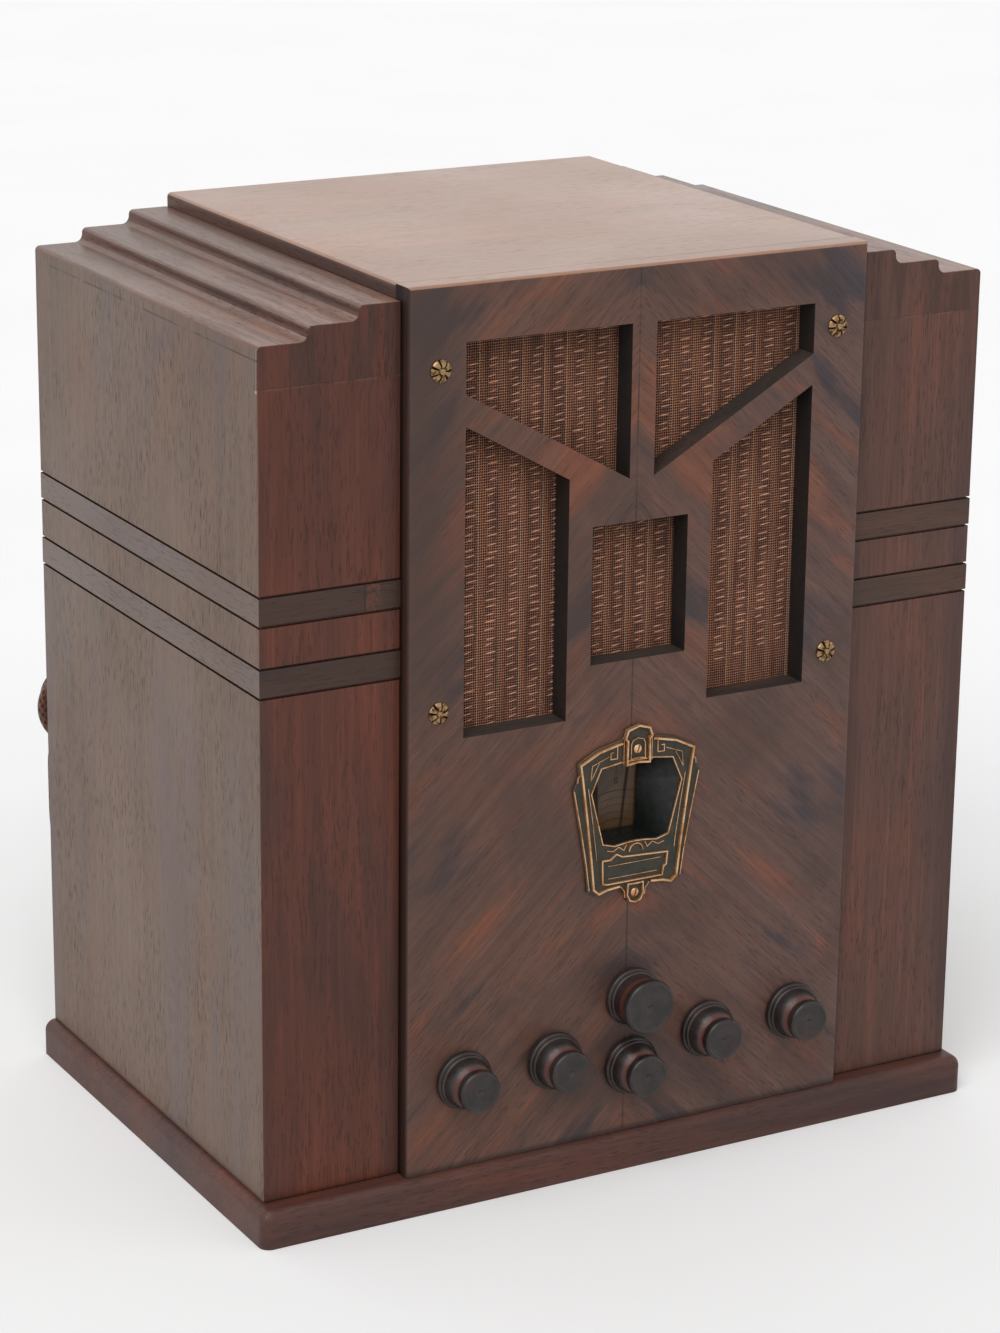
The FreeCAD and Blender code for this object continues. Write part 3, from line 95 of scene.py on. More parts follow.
def shade(red, green, blue):
    """A colour as a paint chart gives it, from 0 to 255, in the shader's own scale."""
    parts = [part / 255 for part in (red, green, blue)]
    return tuple(p / 12.92 if p <= 0.04045 else ((p + 0.055) / 1.055) ** 2.4 for p in parts) + (1.0,)


def scaled(colour, share):
    """A colour made darker or paler by a share."""
    return tuple(min(1, part * share) for part in colour[:3]) + (1,)


class Finish:
    """A procedural material that is built up node by node."""

    def __init__(self, name, **shader):
        self.material = bpy.data.materials.new(name)
        self.material.use_nodes = True
        self.tree = self.material.node_tree
        self.shader = self.tree.nodes["Principled BSDF"]
        for socket, value in shader.items():
            self.shader.inputs[socket.replace("_", " ")].default_value = value
        self.spot = self.add("TexCoord", output="Object")

    def feed(self, socket, value):
        if isinstance(value, bpy.types.NodeSocket):
            self.tree.links.new(value, socket)
        else:
            socket.default_value = value

    def add(self, kind, inputs=(), output=0, **settings):
        node = self.tree.nodes.new("ShaderNode" + kind)
        for name, value in settings.items():
            setattr(node, name, value)
        for name, value in dict(inputs).items():
            self.feed(node.inputs[name], value)
        return node.outputs[output]

    def math(self, operation, first, second=0.0):
        return self.add("Math", {0: first, 1: second}, operation=operation)

    def times(self, first, second):
        return self.math("MULTIPLY", first, second)

    def most(self, first, second):
        return self.math("MAXIMUM", first, second)

    def off(self, value, middle):
        """How far a value lies from another, either way."""
        return self.math("ABSOLUTE", self.math("SUBTRACT", value, middle))

    def near(self, value, middle, width):
        """1 where a value is within a width of its middle, and 0 a little further off."""
        return self.spread(self.off(value, middle), width, width * 0.5)

    def parts(self, vector=None):
        """The three parts of a vector, by default of the place on the piece."""
        split = self.tree.nodes.new("ShaderNodeSeparateXYZ")
        self.feed(split.inputs[0], self.spot if vector is None else vector)
        return split.outputs

    def place(self, scale=(1, 1, 1), turn=(0, 0, 0), shift=(0, 0, 0), vector=None):
        vector = self.spot if vector is None else vector
        inputs = {"Vector": vector, "Scale": scale, "Rotation": turn, "Location": shift}
        return self.add("Mapping", inputs)

    def noise(self, vector, scale, detail=3.0, warp=0.0, rough=0.55):
        inputs = {"Vector": vector, "Scale": scale, "Detail": detail, "Roughness": rough, "Distortion": warp}
        return self.add("TexNoise", inputs)

    def spread(self, value, low, high, start=0.0, end=1.0):
        inputs = {"Value": value, "From Min": low, "From Max": high, "To Min": start, "To Max": end}
        return self.add("MapRange", inputs, interpolation_type="SMOOTHSTEP")

    def blend(self, share, under, over, way="MIX"):
        return self.add("Mix", {0: share, 6: under, 7: over}, output=2, data_type="RGBA", blend_type=way)

    def relief(self, height, depth, over=None):
        inputs = {"Height": height, "Strength": 1.0, "Distance": depth}
        if over is not None:
            inputs["Normal"] = over
        return self.add("Bump", inputs)

    def wear(self, colour, bare, amount, reach=0.0012):
        """Rubs the colour through to another along outer edges, unevenly."""
        soft = self.add("Bevel", {"Radius": reach}, samples=4)
        plain = self.add("NewGeometry", output="Normal")
        apart = self.add("VectorMath", {0: soft, 1: plain}, output="Value", operation="DOT_PRODUCT")
        patch = self.noise(self.spot, 60.0, 4.0)
        share = self.times(self.spread(apart, 0.995, 0.86), self.spread(patch, 0.35, 0.7, 0.15, amount))
        return self.blend(share, colour, bare)

    def hollow_shade(self, colour, reach, dark=(0.008, 0.006, 0.004, 1)):
        """Painted shade in the corners and recesses: the colour darkens where ambient occlusion finds them
        closed in.
        """
        open_share = self.add("AmbientOcclusion", {"Distance": reach}, output="AO", samples=4)
        return self.blend(self.spread(open_share, 0.92, 0.4), colour, dark)

    def done(self, colour=None, rough=None, normal=None, **others):
        for socket, value in (("Base Color", colour), ("Roughness", rough), ("Normal", normal)):
            if value is not None:
                self.feed(self.shader.inputs[socket], value)
        for socket, value in others.items():
            self.feed(self.shader.inputs[socket.replace("_", " ")], value)
        return self.material


def mesh_piece(name, mesh, body, finishes, stands_for=()):
    """Puts a finished mesh in the scene as a piece that rides on a body."""
    item = bpy.data.objects.new(name, mesh)
    bpy.context.scene.collection.objects.link(item)
    for finish in finishes:
        mesh.materials.append(finish)
    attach(item, body)
    if stands_for:
        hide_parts(*stands_for)
    return item


def mesh_of(shape, name):
    """Turns a bmesh into a mesh whose faces point outwards."""
    bmesh.ops.recalc_face_normals(shape, faces=shape.faces)
    mesh = bpy.data.meshes.new(name)
    shape.to_mesh(mesh)
    shape.free()
    return mesh


def smooth(mesh, angle):
    mesh.shade_smooth()
    mesh.set_sharp_from_angle(angle=math.radians(angle))


def bake(item, name):
    """Gives an object's mesh as its modifiers leave it."""
    bpy.context.view_layer.update()
    seen = item.evaluated_get(bpy.context.evaluated_depsgraph_get())
    mesh = bpy.data.meshes.new_from_object(seen)
    mesh.name = name
    return mesh


def fine_copy(node, finish, edge, angle=32.0, name=None, choose=None, share=None, line_finish=-1):
    """Stands in for a frame part with the same shape, its edges eased and its rounds smooth.

    With several finishes, choose gives the number of each face's finish from its middle and its normal.
    Given an edge's two ends, share tells how much of the easing it gets. The eased strips can have a finish
    of their own, line_finish."""
    name = name or node + "_fine"
    finishes = finish if isinstance(finish, list) else [finish]
    shape = bmesh.new()
    shape.from_mesh(NODES[node].data)
    bmesh.ops.remove_doubles(shape, verts=shape.verts, dist=1e-5)
    bmesh.ops.dissolve_limit(shape, angle_limit=math.radians(0.5), verts=shape.verts, edges=shape.edges)
    weight = shape.edges.layers.float.new("bevel_weight_edge")
    for line in shape.edges:
        sharp = len(line.link_faces) == 2 and line.calc_face_angle(0.0) > math.radians(angle)
        if sharp:
            line[weight] = share(line.verts[0].co, line.verts[1].co) if share else 1.0
    for face in shape.faces:
        face.material_index = choose(face.calc_center_median(), face.normal) if choose else 0
    mesh = bpy.data.meshes.new(name)
    shape.to_mesh(mesh)
    shape.free()
    if "custom_normal" in mesh.attributes:
        mesh.attributes.remove(mesh.attributes["custom_normal"])
    smooth(mesh, angle)
    item = mesh_piece(name, mesh, NODES[node]["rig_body"], finishes, [node])
    if edge:
        ease = item.modifiers.new("edges", "BEVEL")
        ease.width = edge
        ease.segments = 2
        ease.limit_method = "WEIGHT"
        ease.material = line_finish
        ease.harden_normals = True
    return item


def put(mesh, matrix):
    mesh.transform(matrix)
    if matrix.determinant() < 0:
        mesh.flip_normals()
    return mesh


def lathe(shape, profile, sides, centre=ORIGIN, axis=UP, finish=0):
    """Turns a profile of (radius, height, finish) points about an axis. A radius of 0 closes to a point."""
    turn = UP.rotation_difference(axis).to_matrix().to_4x4()
    place = Matrix.Translation(centre) @ turn
    rings = []
    for point in profile:
        radius, height = point[:2]
        if radius < 1e-7:
            rings.append([shape.verts.new(place @ Vector((0, 0, height)))])
            continue
        angles = [math.tau * step / sides for step in range(sides)]
        rings.append([shape.verts.new(place @ Vector((radius * math.cos(a), radius * math.sin(a), height)))
                      for a in angles])
    for number, (low, high) in enumerate(zip(rings, rings[1:])):
        tint = profile[number + 1][2] if len(profile[number + 1]) > 2 else finish
        for step in range(sides):
            after = (step + 1) % sides
            corners = []
            for ring, order in ((low, (step, after)), (high, (after, step))):
                corners += [ring[0]] if len(ring) == 1 else [ring[i] for i in order]
            if len(corners) > 2:
                shape.faces.new(corners).material_index = tint


def hoop(shape, loops, finish=0):
    """Joins closed loops of points, each to the next and the last to the first, into a ring."""
    rows = [[shape.verts.new(point) for point in loop] for loop in loops]
    for one, two in zip(rows, rows[1:] + rows[:1]):
        for n, corner in enumerate(one):
            m = (n + 1) % len(one)
            shape.faces.new((corner, one[m], two[m], two[n])).material_index = finish


def box_hoop(shape, low, high, out, finish=0):
    """A band that stands out round the four upright faces of a box, from low.z to high.z."""
    slope = out * 0.5

    def loop(grow, up):
        return [Vector((x, y, up)) for x, y in ((low.x - grow, low.y - grow), (high.x + grow, low.y - grow),
                                               (high.x + grow, high.y + grow),
                                               (low.x - grow, high.y + grow))]

    hoop(shape, [loop(0, low.z), loop(out, low.z + slope), loop(out, high.z - slope), loop(0, high.z)],
         finish)


def parts_boxes(node):
    """The box of each separate solid in a frame part, in a fixed order."""
    shape = bmesh.new()
    shape.from_mesh(NODES[node].data)
    bmesh.ops.remove_doubles(shape, verts=shape.verts, dist=1e-5)
    left, boxes = set(shape.verts), []
    while left:
        reached = [left.pop()]
        for vertex in reached:
            for line in vertex.link_edges:
                other = line.other_vert(vertex)
                if other in left:
                    left.discard(other)
                    reached.append(other)
        corners = [[v.co[a] for v in reached] for a in range(3)]
        boxes.append((Vector([min(c) for c in corners]), Vector([max(c) for c in corners])))
    shape.free()
    return sorted(boxes, key=lambda box: tuple(round(v, 4) for v in box[0]))


def flat_plate(name, outlines, low, high, ease=0.0):
    """A plate in the front plane between two depths. The first outline is its rim, the others are holes."""
    line = bpy.data.curves.new(name, "CURVE")
    line.dimensions = "2D"
    line.fill_mode = "BOTH"
    line.extrude = (high - low) / 2 - ease
    line.bevel_depth = ease
    line.bevel_resolution = 1
    line.offset = -ease
    for outline in outlines:
        spline = line.splines.new("POLY")
        spline.points.add(len(outline) - 1)
        for at, (across, up) in zip(spline.points, outline):
            at.co = (across, up, 0, 1)
        spline.use_cyclic_u = True
    item = bpy.data.objects.new(name, line)
    bpy.context.scene.collection.objects.link(item)
    mesh = bake(item, name)
    bpy.data.objects.remove(item)
    shape = bmesh.new()
    shape.from_mesh(mesh)
    bmesh.ops.remove_doubles(shape, verts=shape.verts, dist=1e-6)
    plate = mesh_of(shape, name)
    return put(plate, Matrix.Translation((0, (low + high) / 2, 0)) @ Matrix.Rotation(math.pi / 2, 4, "X"))


def ridge(shape, points, width, base, top, closed=False, finish=0):
    """A raised line with mitred corners and sloping sides, along points of the front plane."""
    count = len(points)
    rows = []
    for number, point in enumerate(points):
        here = Vector(point)
        before = Vector(points[(number - 1) % count]) if closed or number else None
        after = Vector(points[(number + 1) % count]) if closed or number < count - 1 else None
        ways = [way.normalized()
                for way in (here - before if before else None, after - here if after else None)
                if way is not None]
        normals = [Vector((-way.y, way.x)) for way in ways]
        lean = sum(normals, Vector((0, 0))).normalized()
        lean = lean / max(0.35, lean.dot(normals[0]))
        rows.append([shape.verts.new((here.x + lean.x * side, depth, here.y + lean.y * side))
                     for side, depth in ((-width / 2, base), (-width * 0.3, top), (width * 0.3, top),
                                         (width / 2, base))])
    pairs = list(zip(rows, rows[1:])) + ([(rows[-1], rows[0])] if closed else [])
    for first, second in pairs:
        for a in range(4):
            b = (a + 1) % 4
            shape.faces.new((first[a], first[b], second[b], second[a])).material_index = finish
    if not closed:
        shape.faces.new(rows[0]).material_index = finish
        shape.faces.new(rows[-1]).material_index = finish


def node_tree(name, sizes):
    """An empty Geometry Nodes tree with named inputs. Gives the tree and its input and output nodes."""
    tree = bpy.data.node_groups.new(name, "GeometryNodeTree")
    tree.interface.new_socket("Geometry", in_out="INPUT", socket_type="NodeSocketGeometry")
    for label, kind in sizes:
        tree.interface.new_socket(label, in_out="INPUT", socket_type="NodeSocket" + kind)
    tree.interface.new_socket("Geometry", in_out="OUTPUT", socket_type="NodeSocketGeometry")
    return tree, tree.nodes.new("NodeGroupInput"), tree.nodes.new("NodeGroupOutput")


def gn(tree, kind, inputs=(), output=0, **settings):
    """Adds a node to a tree, feeds its inputs and gives one of its outputs."""
    node = tree.nodes.new(kind)
    for name, value in settings.items():
        setattr(node, name, value)
    for name, value in dict(inputs).items():
        socket = node.inputs[name]
        if isinstance(value, bpy.types.NodeSocket):
            tree.links.new(value, socket)
        else:
            socket.default_value = value
    return node.outputs[output]


def grown(name, mesh, tree, values):
    """Runs a tree on a mesh with its inputs set by socket identifier, and gives the plain mesh that it
    makes."""
    item = bpy.data.objects.new(name, mesh)
    modifier = item.modifiers.new("build", "NODES")
    modifier.node_group = tree
    sockets = {s.name: s.identifier for s in tree.interface.items_tree if s.in_out == "INPUT"}
    for label, value in values.items():
        modifier[sockets[label]] = value
    bpy.context.scene.collection.objects.link(item)
    result = bake(item, name)
    item.modifiers.remove(modifier)
    bpy.data.objects.remove(item)
    return result


def painted_copies(tree, result, placed, finish=None):
    """Makes instances real, gives them their material and passes them to the tree's output."""
    real = gn(tree, "GeometryNodeRealizeInstances", {"Geometry": placed})
    inputs = {"Geometry": real}
    if finish is not None:
        inputs["Material"] = finish
    tree.links.new(gn(tree, "GeometryNodeSetMaterial", inputs), result.inputs[0])


def copies(name, part, places, finish, spread=math.tau, seed=3):
    """Sets a small part at each place, turned about the front-to-back axis by a seeded random angle."""
    tree, given, result = node_tree(
        name + "_tree", [("Part", "Object"), ("Turn spread", "Float"), ("Seed", "Int")])
    g = given.outputs
    original = gn(tree, "GeometryNodeObjectInfo", {"Object": g["Part"]}, "Geometry",
                  transform_space="ORIGINAL")
    chance = gn(tree, "FunctionNodeRandomValue", {"Max": g["Turn spread"], "Seed": g["Seed"]}, "Value",
                data_type="FLOAT")
    turn = gn(tree, "ShaderNodeCombineXYZ", {"Y": chance})
    angle = gn(tree, "FunctionNodeEulerToRotation", {"Euler": turn})
    placed = gn(tree, "GeometryNodeInstanceOnPoints", {
        "Points": g["Geometry"], "Instance": original, "Rotation": angle})
    painted_copies(tree, result, placed, finish)
    source = bpy.data.objects.new(name + "_part", part)
    bpy.context.scene.collection.objects.link(source)
    spots = bpy.data.meshes.new(name + "_spots")
    spots.from_pydata([tuple(place) for place in places], [], [])
    mesh = grown(name, spots, tree, {"Part": source, "Turn spread": spread, "Seed": seed})
    bpy.data.objects.remove(source)
    mesh.materials.clear()
    return mesh


def set_out(name, part, places, finish, stands_for=(), spread=math.tau, seed=3):
    """Puts copies of a small part in the scene as one piece of the cabinet."""
    mesh = copies(name, part, places, finish, spread, seed)
    return mesh_piece(name, mesh, "cabinet", [finish], stands_for)


def solid_piece(name, shape, finishes, angle=None, body="cabinet", stands_for=()):
    """Makes a bmesh a piece, smooth up to an angle between its faces."""
    mesh = mesh_of(shape, name)
    if angle:
        smooth(mesh, angle)
    return mesh_piece(name, mesh, body, finishes, stands_for)


def in_view(tree):
    """1 for light that reaches the camera straight, in a reflection or through glass."""
    path = tree.nodes.new("ShaderNodeLightPath")
    share = path.outputs["Is Camera Ray"]
    for ray in ("Is Glossy Ray", "Is Transmission Ray"):
        either = tree.nodes.new("ShaderNodeMath")
        either.operation = "MAXIMUM"
        tree.links.new(share, either.inputs[0])
        tree.links.new(path.outputs[ray], either.inputs[1])
        share = either.outputs[0]
    return share


def colour_setting(name, description, *paint):
    return FloatVectorProperty(
        name=name, description=description, subtype="COLOR", size=4, default=shade(*paint))


def length_setting(name, description, default):
    return FloatProperty(name=name, description=description, default=default, unit="LENGTH")


class StageSettings(bpy.types.PropertyGroup):
    place: FloatVectorProperty(
        name="Camera place", description="Where the camera stands", subtype="TRANSLATION", unit="LENGTH",
        default=(-0.9878, -1.7554, 0.8817))
    turn: FloatVectorProperty(
        name="Camera turn", description="Azimuth, drop below the level and roll", subtype="EULER",
        unit="ROTATION",
        default=(math.radians(-29.29), math.radians(17.54), math.radians(0.66)))
    lens: FloatProperty(
        name="Lens", description="Focal length for a 36 mm long side", default=102.38, min=20, unit="CAMERA")
    sky: FloatProperty(name="Sky", description="Strength of the even light from all round", default=0.62,
                       min=0)
    key: FloatProperty(name="Key light", description="Strength of the soft light from the upper left",
                       default=1.5, min=0)
    floor: FloatVectorProperty(
        name="Floor", description="Colour of the floor as it lights the radio", subtype="COLOR", size=4,
        default=(0.62, 0.61, 0.6, 1))


class CordSettings(bpy.types.PropertyGroup):
    length: length_setting("Length", "Length from the sleeve to the plug", 1.85)
    diameter: length_setting("Diameter", "Outer diameter", 0.0065)
    turns: IntProperty(name="Turns", description="Turns in the hank", default=4, min=1)
    pitch: length_setting("Pitch", "Distance between turns", 0.007)
    braid: colour_setting("Braid", "Colour of the braided cover", 104, 66, 48)


class WoodSettings(bpy.types.PropertyGroup):
    side: colour_setting("Side", "Veneer of the side panels", 108, 84, 68)
    pilaster: colour_setting("Pilaster", "Veneer of the pilasters", 88, 48, 36)
    panel: colour_setting("Front panel", "Figured veneer of the middle panel", 98, 69, 58)
    panel_smoky: colour_setting("Smoky figure", "Dark clouds of the middle panel", 66, 53, 52)
    panel_warm: colour_setting("Warm figure", "Orange clouds of the middle panel", 118, 72, 54)
    band: colour_setting("Bands", "Wood of the two inlaid bands", 64, 44, 36)
    band_side: colour_setting("Side bands", "Wood of the bands on the sides", 105, 85, 77)
    tread: colour_setting("Treads", "Veneer on the stepped shoulders", 132, 93, 74)
    riser: colour_setting("Risers", "Upright faces of the steps", 88, 54, 42)
    joint: colour_setting(
        "Joints", "Colour of the fine lines along the bands and beside the middle panel", 44, 31, 27)
    joint_width: length_setting("Joint width", "How wide the line along a band is", 0.00022)
    cut_edge: colour_setting("Cut edges", "Stained edges inside the grille openings", 38, 34, 32)
    # painted light: paler than the cut edges, for the upward faces that the light falls on
    ledge: colour_setting("Ledges", "Lit lower edges of the grille openings", 62, 54, 49)
    # painted shade: kept darker so that the lit narrow sides of the middle panel look shaded
    flank: colour_setting("Panel flanks", "Narrow sides of the middle panel", 54, 34, 28)
    foot: colour_setting("Base board", "Wood of the base board", 80, 50, 43)
    top: colour_setting("Top", "Veneer of the top and the treads", 148, 105, 78)
    plain: colour_setting("Inside wood", "Bare wood inside the cabinet", 164, 128, 92)
    edge: length_setting("Eased edge", "How far the sharp edges are eased", 0.0007)
    grain_angle: FloatProperty(
        name="Grain angle", description="Slope of the matched veneer's grain", subtype="ANGLE",
        default=math.radians(46))
    seam: length_setting("Seam", "Place of the seam between the matched veneers", -0.003)


class ClothSettings(bpy.types.PropertyGroup):
    pitch: length_setting("Column pitch", "Distance between the bright cords", 0.0127)
    row: length_setting("Row pitch", "Distance between stitches", 0.0042)
    stitch: length_setting("Stitch", "Length of a stitch", 0.0062)
    thread: length_setting("Thread pitch", "Distance between threads", 0.0013)
    copper: colour_setting("Thread", "Colour of most threads", 190, 126, 97)
    orange: colour_setting("Open weave", "Colour of the open weave", 202, 129, 87)
    dull: colour_setting("Dull thread", "Colour of the darker threads", 138, 89, 68)
    # painted shade: the dark seen through the gaps between the threads
    gap_shade: colour_setting("Ground", "Colour seen between the threads", 24, 13, 11)
    bright: colour_setting("Stitch colour", "Colour of cords and stitches", 222, 172, 136)


class BrassSettings(bpy.types.PropertyGroup):
    brass: colour_setting("Rosettes", "Colour of the rosette heads", 160, 130, 94)
    gilt: colour_setting("Gilt", "Colour of the raised lines", 218, 176, 136)
    patina: colour_setting("Patina", "Colour where the gilt has worn", 176, 124, 78)
    ground: colour_setting("Ground", "Colour of the escutcheon's ground", 62, 57, 48)


class KnobSettings(bpy.types.PropertyGroup):
    face: length_setting("Face", "Radius of a small knob's cap", 0.01175)
    big_face: length_setting("Tuning face", "Radius of the tuning knob's cap", 0.015)
    skin: colour_setting("Lacquer", "Colour of the knobs", 30, 26, 25)
    bloom: colour_setting("Bloom", "Colour where the lacquer has dulled", 46, 40, 38)
    groove: colour_setting("Groove", "Colour of the groove behind the cap", 80, 42, 36)


class DialSettings(bpy.types.PropertyGroup):
    ticks: IntProperty(name="Ticks", description="Ticks round the scale", default=100, min=10)
    # painted shade: darkened to stand for the hood's shadow over the scale
    face: colour_setting("Scale", "Colour of the scale", 88, 62, 38)
    stain: colour_setting("Stain", "Colour where the scale has browned", 60, 40, 24)
    ink: colour_setting("Ink", "Colour of the printing", 24, 18, 14)
    hood: colour_setting("Hood", "Colour inside the hood", 22, 26, 23)


class WorksSettings(bpy.types.PropertyGroup):
    plated: colour_setting("Chassis", "Colour of the plated steel", 164, 162, 152)
    steel: colour_setting("Steel", "Colour of shafts and bolts", 180, 178, 174)
    aluminium: colour_setting("Aluminium", "Colour of cans and shields", 196, 198, 200)


def wood(name, tones, turn=(0, 0, 0), seam=None, patch=14.0, reach=0.3, streak=0.12, pores=0.5, rough=0.42,
         level=0.35, coat=0.0, extra=None):
    """A wood whose grain runs along z before it is turned, in a smoky, a middle and a warm tone.

    A seam makes it mirror there. Patches of the three tones are stretched along the grain by reach."""
    f = Finish(name, Specular_IOR_Level=level, Coat_Weight=coat, Coat_Roughness=0.28)
    spot = f.spot
    if seam is not None:
        across, deep, up = f.parts(spot)
        spot = f.add("CombineXYZ", {0: f.off(across, seam), 1: deep, 2: up})
    spot = f.place(turn=turn, vector=spot)
    long = f.place(scale=(1, 1, reach), vector=spot)
    cloud = f.noise(long, patch, 5.0, 0.6)
    second = f.noise(f.place(scale=(1, 1, reach * 0.7), shift=(3, 5, 1), vector=spot), patch * 2.3, 4.0, 1.0)
    both_clouds = f.math("ADD", f.times(cloud, 0.62), f.times(second, 0.38))
    lines = f.noise(f.place(scale=(1, 1, 0.035), vector=spot), 210.0, 4.0, 0.4)
    fibre = f.noise(f.place(scale=(1, 1, 0.03), shift=(1, 2, 3), vector=spot), 760.0, 2.0)
    dash = f.noise(f.place(scale=(1, 1, 0.11), shift=(7, 1, 2), vector=spot), 1150.0, 1.0)
    thick = f.noise(f.place(scale=(1, 1, 0.4), shift=(2, 8, 4), vector=spot), 30.0, 2.0)
    pore = f.times(f.spread(dash, 0.55, 0.68), f.spread(thick, 0.3, 0.65, 0.35, 1.0))
    smoky, middle, warm = (tuple(tone) for tone in tones)
    colour = f.blend(f.spread(both_clouds, 0.485, 0.385), middle, smoky)
    colour = f.blend(f.spread(both_clouds, 0.5, 0.62), colour, warm)
    tone = f.times(f.spread(lines, 0.3, 0.7, 1 - streak, 1 + streak * 0.7),
                  f.spread(fibre, 0.3, 0.7, 1 - streak * 0.7, 1 + streak * 0.6))
    colour = f.blend(1.0, colour, f.add("CombineColor", {0: tone, 1: tone, 2: tone}), "MULTIPLY")
    dark = scaled(middle, 0.35)
    colour = f.blend(f.times(pore, pores), colour, dark)
    if extra is not None:
        colour = extra(f, colour)
    sheen = f.spread(f.noise(f.spot, 7.0, 4.0), 0.3, 0.7, rough - 0.06, rough + 0.08)
    rise = f.math("SUBTRACT", f.times(fibre, 0.3), pore)
    return f.done(colour, f.math("ADD", sheen, f.times(pore, 0.15)), f.relief(rise, 0.00008))


def tones_of(colour, smoky=0.68, warm=1.4):
    """A smoky, a middle and a warm tone of one wood."""
    red, green, blue = colour[:3]
    return ((red * smoky, green * (smoky + 0.1), blue * (smoky + 0.22), 1), (red, green, blue, 1),
            (min(1, red * warm), green * (1 + (warm - 1) * 0.45), blue * (1 + (warm - 1) * 0.1), 1))


def across_and_up(f):
    parts = f.parts()
    return parts[0], parts[2]


def side_line(f, colour):
    """The dark joint of the edging, under the top edge of each side and up its front corner, coming
    and going, and a painted highlight along the corner above the shoulders' foot."""
    deep, up = f.parts()[1:]
    broken = f.spread(f.noise(f.place(scale=(0, 1, 0)), 26.0, 3.0), 0.4, 0.56)
    fore = f.spread(deep, -0.03, -0.118)
    level = f.times(f.near(up, 0.4683, 0.0006), f.most(broken, fore))
    high = f.spread(up, 0.4535, 0.4545)
    corner = f.times(f.near(deep, -0.1312, 0.0004), high)
    behind = f.spread(deep, 0.13, 0.12)
    share = f.times(f.most(f.times(level, behind), corner), 0.85)
    # painted highlight along the front corner above the shoulders' foot
    pale = f.times(f.spread(deep, -0.1318, -0.1322), high)
    colour = f.blend(f.times(pale, 0.45), colour, shade(150, 128, 112))
    # painted highlight: a pale spot on the corner at the shoulders' foot
    corner_glint = f.times(f.near(up, 0.4528, 0.0009), f.near(deep, -0.1322, 0.0012))
    colour = f.blend(corner_glint, colour, shade(188, 164, 140))
    colour = f.blend(share, colour, shade(30, 24, 22))
    dusk = f.spread(f.noise(f.place(scale=(1, 1, 0.5), shift=(4, 4, 4)), 14.0, 4.0, 1.5), 0.5, 0.68)
    upper = f.spread(up, 0.3, 0.46, 0.0, 0.55)
    colour = f.blend(f.times(dusk, upper), colour, shade(92, 76, 78))
    bars = f.spread(f.noise(f.place(scale=(0, 1, 0.08), shift=(0, 3, 0)), 24.0, 3.0), 0.5, 0.66, 0.0, 0.6)
    low = f.spread(up, 0.33, 0.22)
    colour = f.blend(f.times(bars, low), colour, shade(104, 86, 84))
    # painted shade along the seam with the base board
    return foot_seam_shade(f, colour, up)


def paler_right(f, colour, light_tint):
    """Paints the front's right half paler and greyer as if more strongly lit, and its grain still shows."""
    lit_tone = f.blend(1.0, colour, (*light_tint, 1), "MULTIPLY")
    return f.blend(f.spread(f.parts()[0], -0.06, 0.2, 0.0, 0.6), colour, lit_tone)


def foot_seam_shade(f, colour, up):
    """Painted shade: a dark line where a board stands on the base board."""
    return f.blend(f.spread(up, 0.0237, 0.0212, 0.0, 0.7), colour, shade(32, 24, 21))


def shoulder_shade(f, colour):
    """The pilasters' right side, painted paler and greyer as if more strongly lit, and the darker figure
    that combs down over the shoulders' front.
    """
    colour = paler_right(f, colour, (1.15, 2.0, 2.6))
    across, up = across_and_up(f)
    edges = f.most(f.spread(f.math("ABSOLUTE", across), 0.150, 0.137),
                   f.spread(f.math("ABSOLUTE", across), 0.203, 0.2145, 0.0, 0.8))
    cloudy = f.spread(f.noise(f.place(scale=(1, 1, 0.3), shift=(5, 1, 0)), 20.0, 3.0), 0.35, 0.65, 0.15, 0.6)
    colour = f.blend(f.times(edges, cloudy), colour, shade(62, 44, 40))
    # painted shade along the seam with the base board
    colour = foot_seam_shade(f, colour, up)
    comb = f.spread(f.noise(f.place(scale=(1, 1, 0.12), shift=(2, 0, 0)), 120.0, 3.0), 0.42, 0.62)
    share = f.times(comb, f.spread(up, 0.452, 0.4545, 0.0, 0.6))
    colour = f.blend(share, colour, shade(56, 38, 32))
    # painted highlight, in patches, along the edge just under the shoulders' foot
    glint_patches = f.spread(f.noise(f.place(scale=(1, 1, 0)), 60.0, 3.0), 0.4, 0.65, 0.0, 0.3)
    edge = f.times(f.near(up, 0.4535, 0.0009), f.spread(up, 0.4541, 0.4539))
    return f.blend(f.times(edge, glint_patches), colour, shade(120, 92, 78))


def band_joint(f, colour):
    """The short end joint in the upper band near the middle panel, with a knot beside it."""
    across, up = across_and_up(f)
    upper = f.spread(up, 0.33, 0.332)
    line = f.times(f.times(f.near(across, -0.156, 0.0005), upper), 0.8)
    knot = f.noise(f.place(shift=(1, 0, 0)), 190.0, 4.0, 2.0)
    patch = f.times(f.near(across, -0.1515, 0.0055), f.spread(knot, 0.42, 0.6))
    colour = f.blend(f.times(patch, upper), colour, shade(96, 56, 40))
    # the right half painted paler and greyer as if lit: a painted light
    return f.blend(line, paler_right(f, colour, (1.2, 1.5, 1.7)), shade(24, 16, 14))


def tread_shade(f, colour):
    """Dark streaks along a tread, and a duller tone towards the back."""
    streak = f.noise(f.place(scale=(1, 0.06, 1)), 260.0, 4.0)
    colour = f.blend(f.spread(streak, 0.47, 0.62, 0.0, 0.7), colour, shade(84, 48, 36))
    back = f.spread(f.parts()[1], -0.13, 0.1, 0.0, 0.65)
    return f.blend(back, colour, shade(84, 66, 58))


def quarter(x=0.0, y=0.0, z=0.0):
    return tuple(math.radians(a) for a in (x, y, z))


